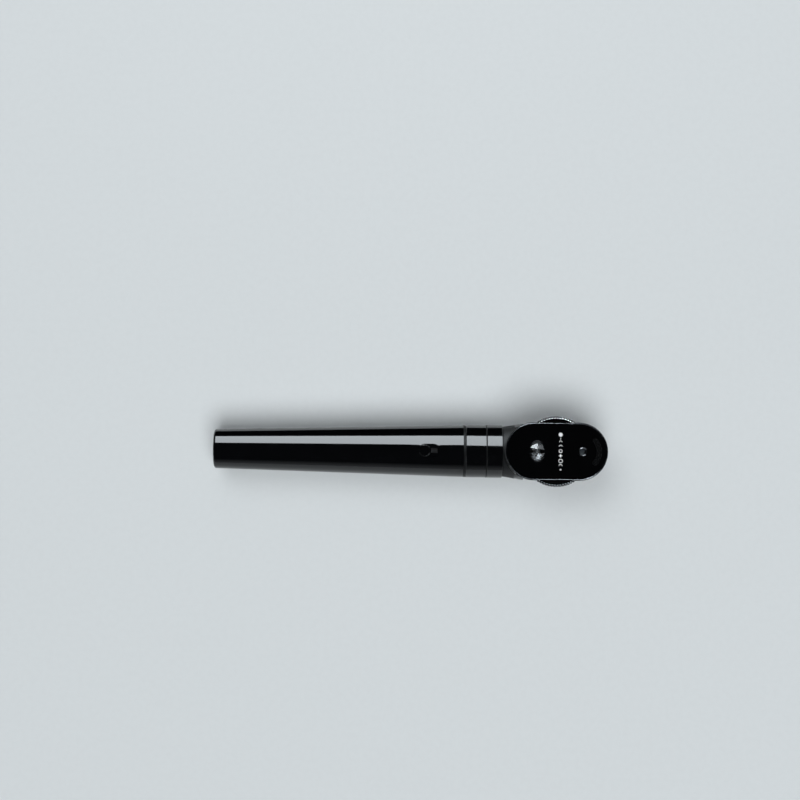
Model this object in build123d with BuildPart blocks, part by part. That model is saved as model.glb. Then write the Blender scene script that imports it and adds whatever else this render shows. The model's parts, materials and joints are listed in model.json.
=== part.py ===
"""Direct ophthalmoscope: a tapered battery handle with a slide switch, an adapter ring that locks on the
handle by a bayonet, and an oval head that plugs into the adapter and holds the lamp, the light path, the
aperture wheel and the lens wheel.

The handle's axis lies along +X and the eyepiece side faces +Z. The instrument lies on the flat of its
patient side: the origin is under the middle of its length, on the surface that it lies on. Stations are
distances along the handle's axis from its butt, and heights are measured from that axis towards the
eyepiece side. Millimetres.
"""

import os
from math import cos, pi, radians, sin, sqrt, tan

from build123d import *

os.makedirs("parts", exist_ok=True)

# ---------------------------------------------------------------- driving dimensions
running_clearance = 0.05  # between a pin and the bore that turns on it
fit_clearance = 0.1  # between pieces that seat in each other
gap = 0.3  # between pieces that pass each other

# battery cells and handle
cell_diameter = 14.5
cell_length = 50.5
cell_nub_diameter = 5.5
cell_nub_length = 1.2
cell_names = ("battery_lower", "battery_upper")
cell_edge = 0.6
cell_clearance = 0.3
tube_wall = 1.65
tube_floor = 2.6
spring_room = 5.0  # length of the battery spring under load
spring_wire = 0.45
spring_turns = 4
spring_inset = 2.2  # from the cell's rim in to the middle of the wire
contact_room = 8.8  # from the last cell's tip to the handle's shoulder
handle_flare = 4.65  # from the cells' bore to the outside at the shoulder
shoulder_thickness = 3.0
butt_round = 1.1
spigot_length = 4.2
spigot_wall = 1.8
rib_width = 1.6

# slide switch
knob_diameter = 6.0
knob_rise = 1.25
knob_round = 0.6
grip_count = 3
grip_pitch = 1.3
grip_width = 0.5
grip_depth = 0.35
switch_travel = 4.1
switch_setback = 16.3  # from the handle's shoulder back to the slot's middle
recess_depth = 0.8
stem_length = 3.0
stem_width = 2.2
slider_length = 7.0
slider_width = 4.6
slider_thickness = 0.8
blade_thickness = 0.5
strip_thickness = 0.25
strip_width = 2.4
strip_standoff = 0.2  # from the tube's inner wall to the strip
finger_lead = 2.0  # level length of the return strip behind the slider
finger_ramp = 4.0  # length over which the strip comes down from the wall
ground_setback = 3.2  # from the last cell's tip to the ground ring
plunger_radius = 1.1
plunger_flange = 2.1
plunger_flange_thickness = 0.8
plunger_wire = 0.2
plunger_turns = 5

# adapter ring and bayonet
ring_proud = 0.1  # the ring's radius beyond the handle's
groove_gap = 0.8  # the open groove between handle and adapter
adapter_length = 9.55
web_thickness = 1.6
pin_radius = 0.9
pin_setback = 1.4  # from the spigot's end back to the pins
pin_reach = 1.0  # how far a bayonet pin stands out of the spigot
lock_turn = 45.0  # degrees from locked to released
socket_wall = 2.7
insulator_radius = 4.0
insulator_flange = 5.4
insulator_thickness = 0.5
rivet_radius = 1.2
rivet_head = 2.2
rivet_head_thickness = 0.3

# head base and lamp
seam_gap = 0.4
base_proud = 0.1  # the base's radius beyond the ring's
base_length = 7.15
plug_length = 4.0
tongue_length = 3.2
key_depth = 0.7  # groove in the tongue for the eyepiece cover's key
key_width = 1.2
key_inset = 1.0  # from the head base's shoulder to the groove
plug_ring_depth = 0.6
plug_ring_width = 1.0
plug_ring_split = 20.0  # degrees left open at the bottom
holder_radius = 6.5
lamp_radius = 2.85
lamp_base_length = 6.8
lamp_flange = 0.8
lamp_flange_reach = 1.0
lamp_glass_radius = 2.5
lamp_glass_length = 7.0
lamp_glass_wall = 0.35
lamp_tip_length = 0.8
filament_half_length = 0.9
filament_radius = 0.22
filament_post_radius = 0.16

# head covers and face plate
plate_length = 47.0
plate_width = 26.2
plate_thickness = 1.0
plate_inset = 0.6  # how deep the plate sits in the eyepiece cover
plate_margin = 0.35  # rim of the cover showing around the plate
plate_start_gap = 1.3  # from the head base to the plate's round end
cover_wall = 1.6
head_rise = 2.3  # from the head base's outside up to the eyepiece cover's top
head_room = 3.3  # from the lens wheel up to the eyepiece cover's top
head_drop = 1.6  # from the head base's outside down to the flat that the head lies on
patient_flat = 16.2  # length of that flat from the head base
slant_angle = 22.0
lower_round = 5.0
neck_length = 14.4
neck_dip = 0.7  # how far the neck starts below the head base's outside
neck_swell = 0.4  # how far the neck's end stands out past the middle of its two radii
neck_close = 3.0  # the neck closes inside the head over its radius divided by this

# lens wheel
wheel_reach = 3.0  # how far it stands out of each side of the head
wheel_thickness = 3.2
wheel_lift = 1.8  # from the chassis up to the wheel's underside
lens_inset = 4.35  # from the wheel's rim in to the lens circle
lens_web = 0.58  # least wall between two lens seats
lens_radius = 1.7
lens_edge = 1.2
lens_power_step = 0.05  # how much the middle's thickness changes from lens to lens
lens_step = 0.25  # width of the seat under a lens
knurl_count = 76
knurl_radius = 0.35
dial_width = 2.6
dial_inset = 0.1  # from the lens seats in to the dial
dial_thickness = 0.4
hub_radius = 3.5
axle_radius = 1.8
axle_head_radius = 3.2
axle_head_thickness = 0.7
axle_screw_radius = 1.3
detent_pitch_radius = 6.0
detent_ball_radius = 0.7
detent_post_radius = 1.3
detent_dimple = 0.3
detent_wire = 0.15
detent_turns = 3
detent_over_barrel = 0.4  # from the long barrel up to the detent's post

# eyepiece windows
sight_radius = 1.5
sight_sink = 0.6  # width of the countersink around the sight hole
sight_glass_thickness = 0.5
display_half_length = 3.2
display_half_width = 4.4
display_bevel = 0.4
display_flange = 0.7
display_rise = 1.0
display_dome_radius = 12.0
brow_inner = 6.5
brow_outer = 9.0
brow_turn = 100.0
brow_thickness = 0.6
brow_rise = 0.15
brow_bed_spare = 1.0  # degrees that the bed is longer than the rest at each end

# aperture wheel
aperture_floor_gap = 0.2  # from its rim to the surface that the head lies on
aperture_thickness = 2.2
aperture_rim = 1.5
aperture_ledge = 0.6
aperture_margin = 0.4  # from the filter's edge to the ledge
aperture_web = 0.4  # wall between the bore of a barrel and that of the axle
aperture_disc_thickness = 0.6
aperture_hub_radius = 2.2
aperture_axle_radius = 1.0
large_spot_radius = 1.3
small_spot_radius = 0.55
slit_width = 0.4
filter_thickness = 0.3
filter_rim = 0.4
thumb_knurls = 36
thumb_knurl_radius = 0.3
scoop_depth = 0.8
scoop_radius = 20.0

# light path
barrel_radius = 3.4
barrel_wall = 0.6
rear_barrel_length = 5.3
barrel_setback = 4.15  # from the mirror's near edge back to the long barrel
optic_thickness = 2.2
optic_edge = 1.0
bracket_thickness = 1.6
bracket_side = 1.1  # from a barrel out to its bracket's side
saddle_depth = 1.0  # wall of a saddle below the barrel
mirror_length = 8.0
mirror_width = 6.4
mirror_thickness = 0.9
window_length = 15.0
window_width = 9.0
window_thickness = 0.9
window_ledge = 1.0
chassis_thickness = 1.2
chassis_over_wheel = 1.0  # from the aperture wheel up to the chassis
chassis_sight_radius = 2.3
ledge_length = 14.0
ledge_width = 3.0
ledge_depth = 2.6

# screws
screw_radius = 0.8
screw_head_radius = 1.5
screw_head_height = 1.0
driver_slot = 0.4
screw_reach = 6.0  # how far a housing screw goes into the patient cover
tip_screw_side = 5.5
boss_radius = 2.1

# ---------------------------------------------------------------- derived places
battery_bore = cell_diameter / 2 + cell_clearance
butt_radius = battery_bore + tube_wall
shoulder_radius = battery_bore + handle_flare
cells_start = tube_floor + spring_room
cells_end = cells_start + len(cell_names) * cell_length
shoulder_station = cells_end + contact_room
spigot_end = shoulder_station + spigot_length
spigot_radius = shoulder_radius - spigot_wall
spigot_bore = spigot_radius - spigot_wall
pin_station = spigot_end - pin_setback

adapter_start = shoulder_station + groove_gap
adapter_end = adapter_start + adapter_length
ring_radius = shoulder_radius + ring_proud
web_start = spigot_end + 2 * gap
web_end = web_start + web_thickness
socket_radius = ring_radius - socket_wall

base_start = adapter_end + seam_gap
base_end = base_start + base_length
base_radius = ring_radius + base_proud
plug_start = base_start - plug_length
tongue_end = base_end + tongue_length
tongue_radius = base_radius - neck_dip - cover_wall - fit_clearance

plate_start = base_end + plate_start_gap
plate_middle = plate_start + plate_length / 2
head_width = plate_width + 2 * plate_margin
head_length = plate_length + 2 * plate_margin
wheel_station = plate_middle
wheel_radius = head_width / 2 + wheel_reach
lens_pitch_radius = wheel_radius - lens_inset
lens_positions = int(2 * pi * lens_pitch_radius / (2 * lens_radius + lens_web))  # one of them is open
dial_radius = lens_pitch_radius - lens_radius - dial_inset - dial_width / 2
sight_station = wheel_station + lens_pitch_radius
display_station = wheel_station - dial_radius
head_start = plate_start - plate_margin
head_end = head_start + head_length
knee_station = base_end + patient_flat
bracket_width = 2 * (barrel_radius + bracket_side)

# the patient side is as deep as the neck or the aperture wheel needs, whichever is more
aperture_drop = barrel_radius + aperture_web + aperture_axle_radius
aperture_disc_radius = aperture_drop + large_spot_radius + filter_rim + aperture_margin
aperture_need = aperture_disc_radius + aperture_ledge + aperture_rim
patient_depth = max(base_radius + head_drop, aperture_drop + aperture_need + aperture_floor_gap)
aperture_radius = patient_depth - aperture_floor_gap - aperture_drop

# upwards from the aperture wheel: the chassis, the lens wheel and the eyepiece side
chassis_bottom = aperture_radius - aperture_drop + chassis_over_wheel
chassis_top = chassis_bottom + chassis_thickness
wheel_height = chassis_top + wheel_lift
wheel_top = wheel_height + wheel_thickness
split_height = wheel_height - gap
cover_top = max(base_radius + head_rise, wheel_top + head_room)
plate_bottom = cover_top - plate_inset
plate_top = plate_bottom + plate_thickness
ceiling = cover_top - cover_wall

overall_length = head_end
axis_height = patient_depth
butt_x = -overall_length / 2

handle_axis = Axis((butt_x, 0, axis_height), (1, 0, 0))
wheel_axis = Axis((butt_x + wheel_station, 0, axis_height), (0, 0, 1))
side_plane = Plane(origin=(butt_x, 0, axis_height), x_dir=(1, 0, 0), z_dir=(0, -1, 0))


def station_plane(station):
    """A cross-section of the handle: local x is +Y, local y is +Z, and extrusion goes to the head."""
    return Plane(origin=(butt_x + station, 0, axis_height), x_dir=(0, 1, 0), z_dir=(1, 0, 0))


def height_plane(height):
    """A level plane: local x is the station, local y is +Y, and extrusion goes to the eyepiece side."""
    return Plane(origin=(butt_x, 0, axis_height + height), x_dir=(1, 0, 0), z_dir=(0, 0, 1))


def wheel_plane(height, station=wheel_station):
    """A level plane with its origin on the lens wheel's axis, or at another station."""
    return Plane(origin=(butt_x + station, 0, axis_height + height), x_dir=(1, 0, 0), z_dir=(0, 0, 1))


def outer_radius(station):
    """The handle's outside radius at a station of its taper."""
    return butt_radius + (shoulder_radius - butt_radius) * station / shoulder_station


def inner_radius(station):
    """The handle's inside radius at a station of its taper."""
    return outer_radius(station) - tube_wall


def half_section(*points):
    """A closed outline of (station, height) points in the handle's lengthwise plane."""
    with BuildSketch(side_plane) as section:
        with BuildLine():
            Polyline(*points, close=True)
        make_face()
    return section.sketch


def ring_sector(plane, inner, outer, start_angle, turn):
    """Part of an annulus between two angles, in degrees."""
    with BuildSketch(plane) as sector:
        with BuildLine():
            inside = CenterArc((0, 0), inner, start_angle, turn)
            outside = CenterArc((0, 0), outer, start_angle, turn)
            Line(inside @ 0, outside @ 0)
            Line(inside @ 1, outside @ 1)
        make_face()
    return sector.sketch


def coil_spring(plane, height, mean_radius, wire_radius, turns):
    """A round-wire compression spring that stands on a plane and winds about its normal."""
    with BuildPart() as spring:
        with BuildLine():
            path = Helix(height / turns, height, mean_radius, center=plane.origin, direction=plane.z_dir)
        with BuildSketch(Plane(origin=path @ 0, z_dir=path % 0)):
            Circle(wire_radius)
        sweep(path=path)
    return spring.part


def lens_body(plane, radius, middle, edge):
    """A lens about the plane's local y axis, with its middle and its edge of the given thicknesses."""
    with BuildPart() as glass:
        with BuildSketch(plane):
            with BuildLine():
                TangentArc((0, middle / 2), (radius, edge / 2), tangent=(1, 0))
                Line((radius, edge / 2), (radius, -edge / 2))
                TangentArc((0, -middle / 2), (radius, -edge / 2), tangent=(1, 0))
                Line((0, -middle / 2), (0, middle / 2))
            make_face()
        revolve(axis=Axis(plane.origin, plane.y_dir))
    return glass.part


# ---------------------------------------------------------------- handle
cone_start = tube_floor
cone_end = shoulder_station - shoulder_thickness
slot_station = shoulder_station - switch_setback
knob_station = slot_station - switch_travel / 2
recess_height = outer_radius(slot_station) - recess_depth
slot_length = knob_diameter + switch_travel
stem_slot_length = stem_length + switch_travel + 2 * gap

with BuildPart() as handle_tube:
    revolve(
        half_section(
            (0, 0),
            (0, outer_radius(0)),
            (shoulder_station - gap, outer_radius(shoulder_station)),
            (shoulder_station, shoulder_radius - gap),
            (shoulder_station, spigot_radius),
            (spigot_end, spigot_radius),
            (spigot_end, 0),
        ),
        axis=handle_axis,
    )
    butt_edge = handle_tube.edges().filter_by(GeomType.CIRCLE).group_by(Axis.X)[0]
    fillet(butt_edge, butt_round)
    revolve(
        half_section(
            (cone_start, 0),
            (cone_start, inner_radius(cone_start)),
            (cone_end, inner_radius(cone_end)),
            (cone_end, spigot_bore),
            (spigot_end + gap, spigot_bore),
            (spigot_end + gap, 0),
        ),
        axis=handle_axis,
        mode=Mode.SUBTRACT,
    )
    # four ribs keep the cells on the axis where the bore grows wider than they are
    for rib_angle in (45, 135, 225, 315):
        across = (0, -sin(radians(rib_angle)), cos(radians(rib_angle)))
        with BuildSketch(Plane(origin=(butt_x, 0, axis_height), x_dir=(1, 0, 0), z_dir=across)):
            with BuildLine():
                Polyline(
                    (cells_start, battery_bore),
                    (cells_end, battery_bore),
                    (cells_end, inner_radius(cells_end) + tube_wall / 2),
                    (cells_start, inner_radius(cells_start) + tube_wall / 2),
                    close=True,
                )
            make_face()
        extrude(amount=rib_width / 2, both=True)
    # the recess of the switch and the slot for its stem
    with BuildSketch(height_plane(recess_height)):
        with Locations((slot_station, 0)):
            SlotOverall(slot_length, knob_diameter + 2 * fit_clearance)
    extrude(amount=shoulder_radius, mode=Mode.SUBTRACT)
    with BuildSketch(height_plane(battery_bore)):
        with Locations((slot_station, 0)):
            Rectangle(stem_slot_length, stem_width + 2 * fit_clearance)
    extrude(amount=shoulder_radius, mode=Mode.SUBTRACT)
    # two bayonet pins, one each side of the spigot
    with BuildSketch(Plane(origin=(butt_x + pin_station, 0, axis_height), z_dir=(0, 1, 0))):
        Circle(pin_radius)
    extrude(amount=spigot_radius + pin_reach, both=True)
    with BuildSketch(station_plane(pin_station - 2 * pin_radius)):
        Circle(spigot_bore)
    extrude(amount=4 * pin_radius, mode=Mode.SUBTRACT)
handle_tube.part.label = "handle_tube"
export_step(handle_tube.part, "parts/handle_tube.step")

with BuildPart() as spring_plate:
    with BuildSketch(station_plane(tube_floor)):
        Circle(inner_radius(tube_floor) - fit_clearance)
    extrude(amount=strip_thickness)
spring_plate.part.label = "spring_plate"
export_step(spring_plate.part, "parts/spring_plate.step")

spring_start = tube_floor + strip_thickness + spring_wire
battery_spring = coil_spring(
    station_plane(spring_start),
    cells_start - spring_wire - spring_start,
    cell_diameter / 2 - spring_inset,
    spring_wire,
    spring_turns,
)
battery_spring.label = "battery_spring"
export_step(battery_spring, "parts/battery_spring.step")

# the cells stand nose to tail, each with its positive nub towards the head
for cell_index, cell_name in enumerate(cell_names):
    cell_start = cells_start + cell_index * cell_length
    cell_shoulder = cell_start + cell_length - cell_nub_length
    with BuildPart() as cell:
        revolve(
            half_section(
                (cell_start, 0),
                (cell_start, cell_diameter / 2 - cell_edge),
                (cell_start + cell_edge, cell_diameter / 2),
                (cell_shoulder - cell_edge, cell_diameter / 2),
                (cell_shoulder, cell_diameter / 2 - cell_edge),
                (cell_shoulder, cell_nub_diameter / 2),
                (cell_start + cell_length, cell_nub_diameter / 2),
                (cell_start + cell_length, 0),
            ),
            axis=handle_axis,
        )
    cell.part.label = cell_name
    export_step(cell.part, f"parts/{cell_name}.step")

# ---------------------------------------------------------------- slide switch
knob_bottom = recess_height + fit_clearance
knob_top = outer_radius(slot_station) + knob_rise
slider_back = knob_station - slider_length / 2
slider_front = knob_station + slider_length / 2
slider_top = sqrt(inner_radius(slider_back) ** 2 - (slider_width / 2) ** 2) - fit_clearance
slider_bottom = slider_top - slider_thickness
blade_bottom = slider_bottom - blade_thickness

with BuildPart() as switch_knob:
    with BuildSketch(height_plane(knob_bottom)):
        with Locations((knob_station, 0)):
            Circle(knob_diameter / 2 - fit_clearance)
    extrude(amount=knob_top - knob_bottom)
    fillet(switch_knob.faces().sort_by(Axis.Z)[-1].edges(), knob_round)
    # grip grooves across the knob
    with BuildSketch(height_plane(knob_top)):
        with Locations((knob_station, 0)):
            with GridLocations(grip_pitch, 0, grip_count, 1):
                Rectangle(grip_width, knob_diameter)
    extrude(amount=-grip_depth, mode=Mode.SUBTRACT)
    with BuildSketch(height_plane(slider_top)):
        with Locations((knob_station, 0)):
            Rectangle(stem_length, stem_width)
    extrude(amount=knob_bottom - slider_top)
switch_knob.part.label = "switch_knob"
export_step(switch_knob.part, "parts/switch_knob.step")

with BuildPart() as switch_slider:
    with BuildSketch(height_plane(slider_bottom)):
        with Locations((knob_station, 0)):
            Rectangle(slider_length, slider_width)
    extrude(amount=slider_thickness)
    fillet(switch_slider.edges().filter_by(Axis.Z), slider_thickness / 2)
switch_slider.part.label = "switch_slider"
export_step(switch_slider.part, "parts/switch_slider.step")

with BuildPart() as switch_contact:
    with BuildSketch(height_plane(blade_bottom)):
        with Locations((knob_station, 0)):
            Rectangle(slider_length, strip_width)
    extrude(amount=blade_thickness)
switch_contact.part.label = "switch_contact"
export_step(switch_contact.part, "parts/switch_contact.step")

# ---------------------------------------------------------------- contacts inside the handle
finger_height = blade_bottom - running_clearance
finger_bend = slider_back - finger_lead
ramp_start = finger_bend - finger_ramp
return_end = slider_front - switch_travel / 2
upper_start = slider_front + switch_travel / 2
ring_start = cells_end + ground_setback
ground_outer = spigot_bore - fit_clearance / 2
ground_inner = ground_outer - 2 * strip_thickness


def contact_strip(points):
    """A sprung strip one thickness deep whose outer face follows (station, height) points."""
    inner_points = [(station, height - strip_thickness) for station, height in reversed(points)]
    with BuildPart() as strip:
        extrude(half_section(*points, *inner_points), amount=strip_width / 2, both=True)
    return strip.part


plate_face = tube_floor + strip_thickness
return_strip = contact_strip(
    [
        (plate_face, inner_radius(plate_face) - strip_standoff),
        (ramp_start, inner_radius(ramp_start) - strip_standoff),
        (finger_bend, finger_height),
        (return_end, finger_height),
    ]
)
return_strip.label = "return_strip"
export_step(return_strip, "parts/return_strip.step")

upper_strip = contact_strip(
    [
        (upper_start, finger_height),
        ((upper_start + ring_start) / 2, finger_height),
        (ring_start, ground_outer - strip_thickness / 2),
    ]
)
upper_strip.label = "upper_strip"
export_step(upper_strip, "parts/upper_strip.step")

with BuildPart() as ground_ring:
    with BuildSketch(station_plane(ring_start)):
        Circle(ground_outer)
        Circle(ground_inner, mode=Mode.SUBTRACT)
    extrude(amount=spigot_end + gap - ring_start)
ground_ring.part.label = "ground_ring"
export_step(ground_ring.part, "parts/ground_ring.step")

carrier_start = ring_start + gap
carrier_radius = ground_inner - fit_clearance / 2
with BuildPart() as contact_carrier:
    revolve(
        half_section(
            (carrier_start, plunger_flange + fit_clearance),
            (carrier_start, carrier_radius),
            (spigot_end - gap, carrier_radius),
            (spigot_end - gap, plunger_radius + running_clearance),
            (shoulder_station, plunger_radius + running_clearance),
            (shoulder_station, plunger_flange + fit_clearance),
        ),
        axis=handle_axis,
    )
contact_carrier.part.label = "contact_carrier"
export_step(contact_carrier.part, "parts/contact_carrier.step")

flange_start = carrier_start + fit_clearance
flange_end = flange_start + plunger_flange_thickness
with BuildPart() as centre_contact:
    revolve(
        half_section(
            (cells_end, 0),
            (cells_end, plunger_radius),
            (flange_start, plunger_radius),
            (flange_start, plunger_flange),
            (flange_end, plunger_flange),
            (flange_end, plunger_radius),
            (spigot_end + gap, plunger_radius),
            (spigot_end + gap, 0),
        ),
        axis=handle_axis,
    )
centre_contact.part.label = "centre_contact"
export_step(centre_contact.part, "parts/centre_contact.step")

plunger_spring_start = flange_end + plunger_wire
centre_spring = coil_spring(
    station_plane(plunger_spring_start),
    shoulder_station - plunger_wire - plunger_spring_start,
    (plunger_radius + plunger_flange + fit_clearance) / 2,
    plunger_wire,
    plunger_turns,
)
centre_spring.label = "centre_spring"
export_step(centre_spring, "parts/centre_spring.step")

# ---------------------------------------------------------------- adapter ring
adapter_bore = spigot_radius + fit_clearance
slot_reach = spigot_radius + pin_reach + fit_clearance
slot_half_width = pin_radius + fit_clearance
pin_turn = 180 / pi * slot_half_width / spigot_radius
leg_plane = station_plane(pin_station - slot_half_width)
entry_plane = station_plane(adapter_start - gap)

with BuildPart() as adapter_ring:
    revolve(
        half_section(
            (adapter_start, adapter_bore),
            (adapter_start, ring_radius - gap),
            (adapter_start + gap, ring_radius),
            (adapter_end, ring_radius),
            (adapter_end, socket_radius),
            (web_end, socket_radius),
            (web_end, insulator_radius),
            (web_start, insulator_radius),
            (web_start, adapter_bore),
        ),
        axis=handle_axis,
    )
    # a bayonet slot for each pin: an entry along the axis, then a leg round to the locked end
    for pin_angle in (0, 180):
        leg_start = pin_angle - pin_turn
        entry_start = pin_angle + lock_turn - pin_turn
        leg = ring_sector(leg_plane, adapter_bore / 2, slot_reach, leg_start, lock_turn + 2 * pin_turn)
        extrude(leg, amount=2 * slot_half_width, mode=Mode.SUBTRACT)
        entry = ring_sector(entry_plane, adapter_bore / 2, slot_reach, entry_start, 2 * pin_turn)
        extrude(entry, amount=pin_station - adapter_start + gap, mode=Mode.SUBTRACT)
adapter_ring.part.label = "adapter_ring"
export_step(adapter_ring.part, "parts/adapter_ring.step")

insulator_end = web_end + insulator_thickness
with BuildPart() as adapter_insulator:
    revolve(
        half_section(
            (web_start, rivet_radius + fit_clearance / 2),
            (web_start, insulator_radius - fit_clearance / 2),
            (web_end, insulator_radius - fit_clearance / 2),
            (web_end, insulator_flange),
            (insulator_end, insulator_flange),
            (insulator_end, rivet_radius + fit_clearance / 2),
        ),
        axis=handle_axis,
    )
adapter_insulator.part.label = "adapter_insulator"
export_step(adapter_insulator.part, "parts/adapter_insulator.step")

rivet_start = spigot_end + gap + fit_clearance
rivet_end = insulator_end + rivet_head_thickness
with BuildPart() as adapter_contact:
    revolve(
        half_section(
            (rivet_start, 0),
            (rivet_start, rivet_head),
            (web_start, rivet_head),
            (web_start, rivet_radius),
            (insulator_end, rivet_radius),
            (insulator_end, rivet_head),
            (rivet_end, rivet_head),
            (rivet_end, 0),
        ),
        axis=handle_axis,
    )
adapter_contact.part.label = "adapter_contact"
export_step(adapter_contact.part, "parts/adapter_contact.step")

# ---------------------------------------------------------------- head base and lamp
lamp_tip = rivet_end + fit_clearance
holder_start = lamp_tip + gap
lamp_start = lamp_tip + lamp_tip_length
lamp_seat = lamp_start + lamp_base_length
glass_start = lamp_seat + lamp_flange
glass_end = glass_start + lamp_glass_length
lamp_flange_radius = lamp_radius + lamp_flange_reach
plug_radius = socket_radius - fit_clearance
plug_ring_station = (plug_start + base_start - plug_ring_width) / 2
key_station = base_end + key_inset

with BuildPart() as head_base:
    revolve(
        half_section(
            (plug_start, holder_radius + fit_clearance),
            (plug_start, plug_radius - gap),
            (plug_start + gap, plug_radius),
            (plug_ring_station, plug_radius),
            (plug_ring_station, plug_radius - plug_ring_depth),
            (plug_ring_station + plug_ring_width, plug_radius - plug_ring_depth),
            (plug_ring_station + plug_ring_width, plug_radius),
            (base_start, plug_radius),
            (base_start, base_radius - gap / 2),
            (base_start + gap / 2, base_radius),
            (base_end - gap / 2, base_radius),
            (base_end, base_radius - gap / 2),
            (base_end, tongue_radius),
            (key_station, tongue_radius),
            (key_station, tongue_radius - key_depth),
            (key_station + key_width, tongue_radius - key_depth),
            (key_station + key_width, tongue_radius),
            (tongue_end, tongue_radius),
            (tongue_end, holder_radius + fit_clearance),
        ),
        axis=handle_axis,
    )
head_base.part.label = "head_base"
export_step(head_base.part, "parts/head_base.step")

# a sprung ring, split at the bottom, grips the socket
with BuildPart() as plug_ring:
    ring_plane = station_plane(plug_ring_station + fit_clearance)
    ring_inner = plug_radius - plug_ring_depth + fit_clearance
    split_end = plug_ring_split / 2 - 90
    ring_arc = ring_sector(ring_plane, ring_inner, plug_radius, split_end, 360 - plug_ring_split)
    extrude(ring_arc, amount=plug_ring_width - 2 * fit_clearance)
plug_ring.part.label = "plug_ring"
export_step(plug_ring.part, "parts/plug_ring.step")

with BuildPart() as bulb_holder:
    revolve(
        half_section(
            (holder_start, lamp_radius + fit_clearance),
            (holder_start, holder_radius),
            (base_end, holder_radius),
            (base_end, lamp_flange_radius + fit_clearance),
            (lamp_seat, lamp_flange_radius + fit_clearance),
            (lamp_seat, lamp_radius + fit_clearance),
        ),
        axis=handle_axis,
    )
bulb_holder.part.label = "bulb_holder"
export_step(bulb_holder.part, "parts/bulb_holder.step")

with BuildPart() as bulb_base:
    revolve(
        half_section(
            (lamp_tip, 0),
            (lamp_tip, lamp_radius / 4),
            (lamp_start, lamp_radius / 2),
            (lamp_start, lamp_radius - gap),
            (lamp_start + gap, lamp_radius),
            (lamp_seat, lamp_radius),
            (lamp_seat, lamp_flange_radius),
            (glass_start, lamp_flange_radius),
            (glass_start, 0),
        ),
        axis=handle_axis,
    )
bulb_base.part.label = "bulb_base"
export_step(bulb_base.part, "parts/bulb_base.step")

dome_start = glass_end - lamp_glass_radius
glass_inside = lamp_glass_radius - lamp_glass_wall
with BuildPart() as bulb_glass:
    with BuildSketch(side_plane):
        with BuildLine():
            Polyline(
                (dome_start, glass_inside),
                (glass_start, glass_inside),
                (glass_start, lamp_glass_radius),
                (dome_start, lamp_glass_radius),
            )
            CenterArc((dome_start, 0), lamp_glass_radius, 0, 90)
            Line((glass_end, 0), (glass_end - lamp_glass_wall, 0))
            CenterArc((dome_start, 0), glass_inside, 0, 90)
        make_face()
    revolve(axis=handle_axis)
bulb_glass.part.label = "bulb_glass"
export_step(bulb_glass.part, "parts/bulb_glass.step")

filament_station = glass_start + lamp_glass_length / 2
with BuildPart() as bulb_filament:
    with BuildSketch(station_plane(glass_start)):
        with Locations((-filament_half_length, 0), (filament_half_length, 0)):
            Circle(filament_post_radius)
    extrude(amount=filament_station - glass_start)
    with BuildSketch(Plane(origin=(butt_x + filament_station, 0, axis_height), z_dir=(0, 1, 0))):
        Circle(filament_radius)
    extrude(amount=filament_half_length + filament_post_radius, both=True)
bulb_filament.part.label = "bulb_filament"
export_step(bulb_filament.part, "parts/bulb_filament.step")

# ---------------------------------------------------------------- places inside the head
rear_barrel_start = glass_end + 2 * gap
rear_barrel_end = rear_barrel_start + rear_barrel_length
aperture_start = rear_barrel_end + gap
aperture_station = aperture_start + aperture_thickness / 2
front_barrel_start = aperture_start + aperture_thickness + gap
mirror_half = mirror_length / 2 * cos(pi / 4)
mirror_depth = mirror_thickness * cos(pi / 4)
mirror_station = sight_station - sight_radius - mirror_half - mirror_depth - 2 * gap
front_barrel_end = mirror_station - mirror_half - barrel_setback
window_station = (mirror_station + sight_station) / 2
cover_inside = head_width / 2 - cover_wall

# ---------------------------------------------------------------- head covers
slant = radians(slant_angle)
along_slant = (cos(slant), sin(slant))
into_head = (-sin(slant), cos(slant))
cut_reach = 90.0


def slant_point(station, depth=0.0):
    """The (station, height) of a point on the patient side's slanted face, or under it."""
    height = -patient_depth + (station - knee_station) * tan(slant)
    return station + into_head[0] * depth, height + into_head[1] * depth


def slant_cutter(inset):
    """The outline below the slanted face, moved into the head by an inset."""
    foot = slant_point(knee_station, inset)
    low = (foot[0] - along_slant[0] * cut_reach, foot[1] - along_slant[1] * cut_reach)
    high = (foot[0] + along_slant[0] * cut_reach, foot[1] + along_slant[1] * cut_reach)
    out_x = -into_head[0] * cut_reach
    out_z = -into_head[1] * cut_reach
    return half_section(low, high, (high[0] + out_x, high[1] + out_z), (low[0] + out_x, low[1] + out_z))


def head_form(inset):
    """The head's outside, drawn in by an inset: an oval block with a slanted underside, on a round neck."""
    with BuildPart() as block:
        with BuildSketch(height_plane(-patient_depth + inset)):
            with Locations(((head_start + head_end) / 2, 0)):
                SlotOverall(head_length - 2 * inset, head_width - 2 * inset)
        extrude(amount=cover_top + patient_depth - 2 * inset)
        extrude(slant_cutter(inset), amount=head_width, both=True, mode=Mode.SUBTRACT)
        low_edges = block.faces().filter_by(lambda face: face.normal_at().Z < -0.5).edges()
        fillet(low_edges, lower_round - inset)
        neck_end = base_end + neck_length
        neck_radius = (head_width / 2 + base_radius) / 2 + neck_swell - inset
        revolve(
            half_section(
                (base_end + fit_clearance, 0),
                (base_end + fit_clearance, base_radius - neck_dip - inset),
                (neck_end - neck_radius / neck_close, neck_radius),
                (neck_end, 0),
            ),
            axis=handle_axis,
        )
    return block.part


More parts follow.
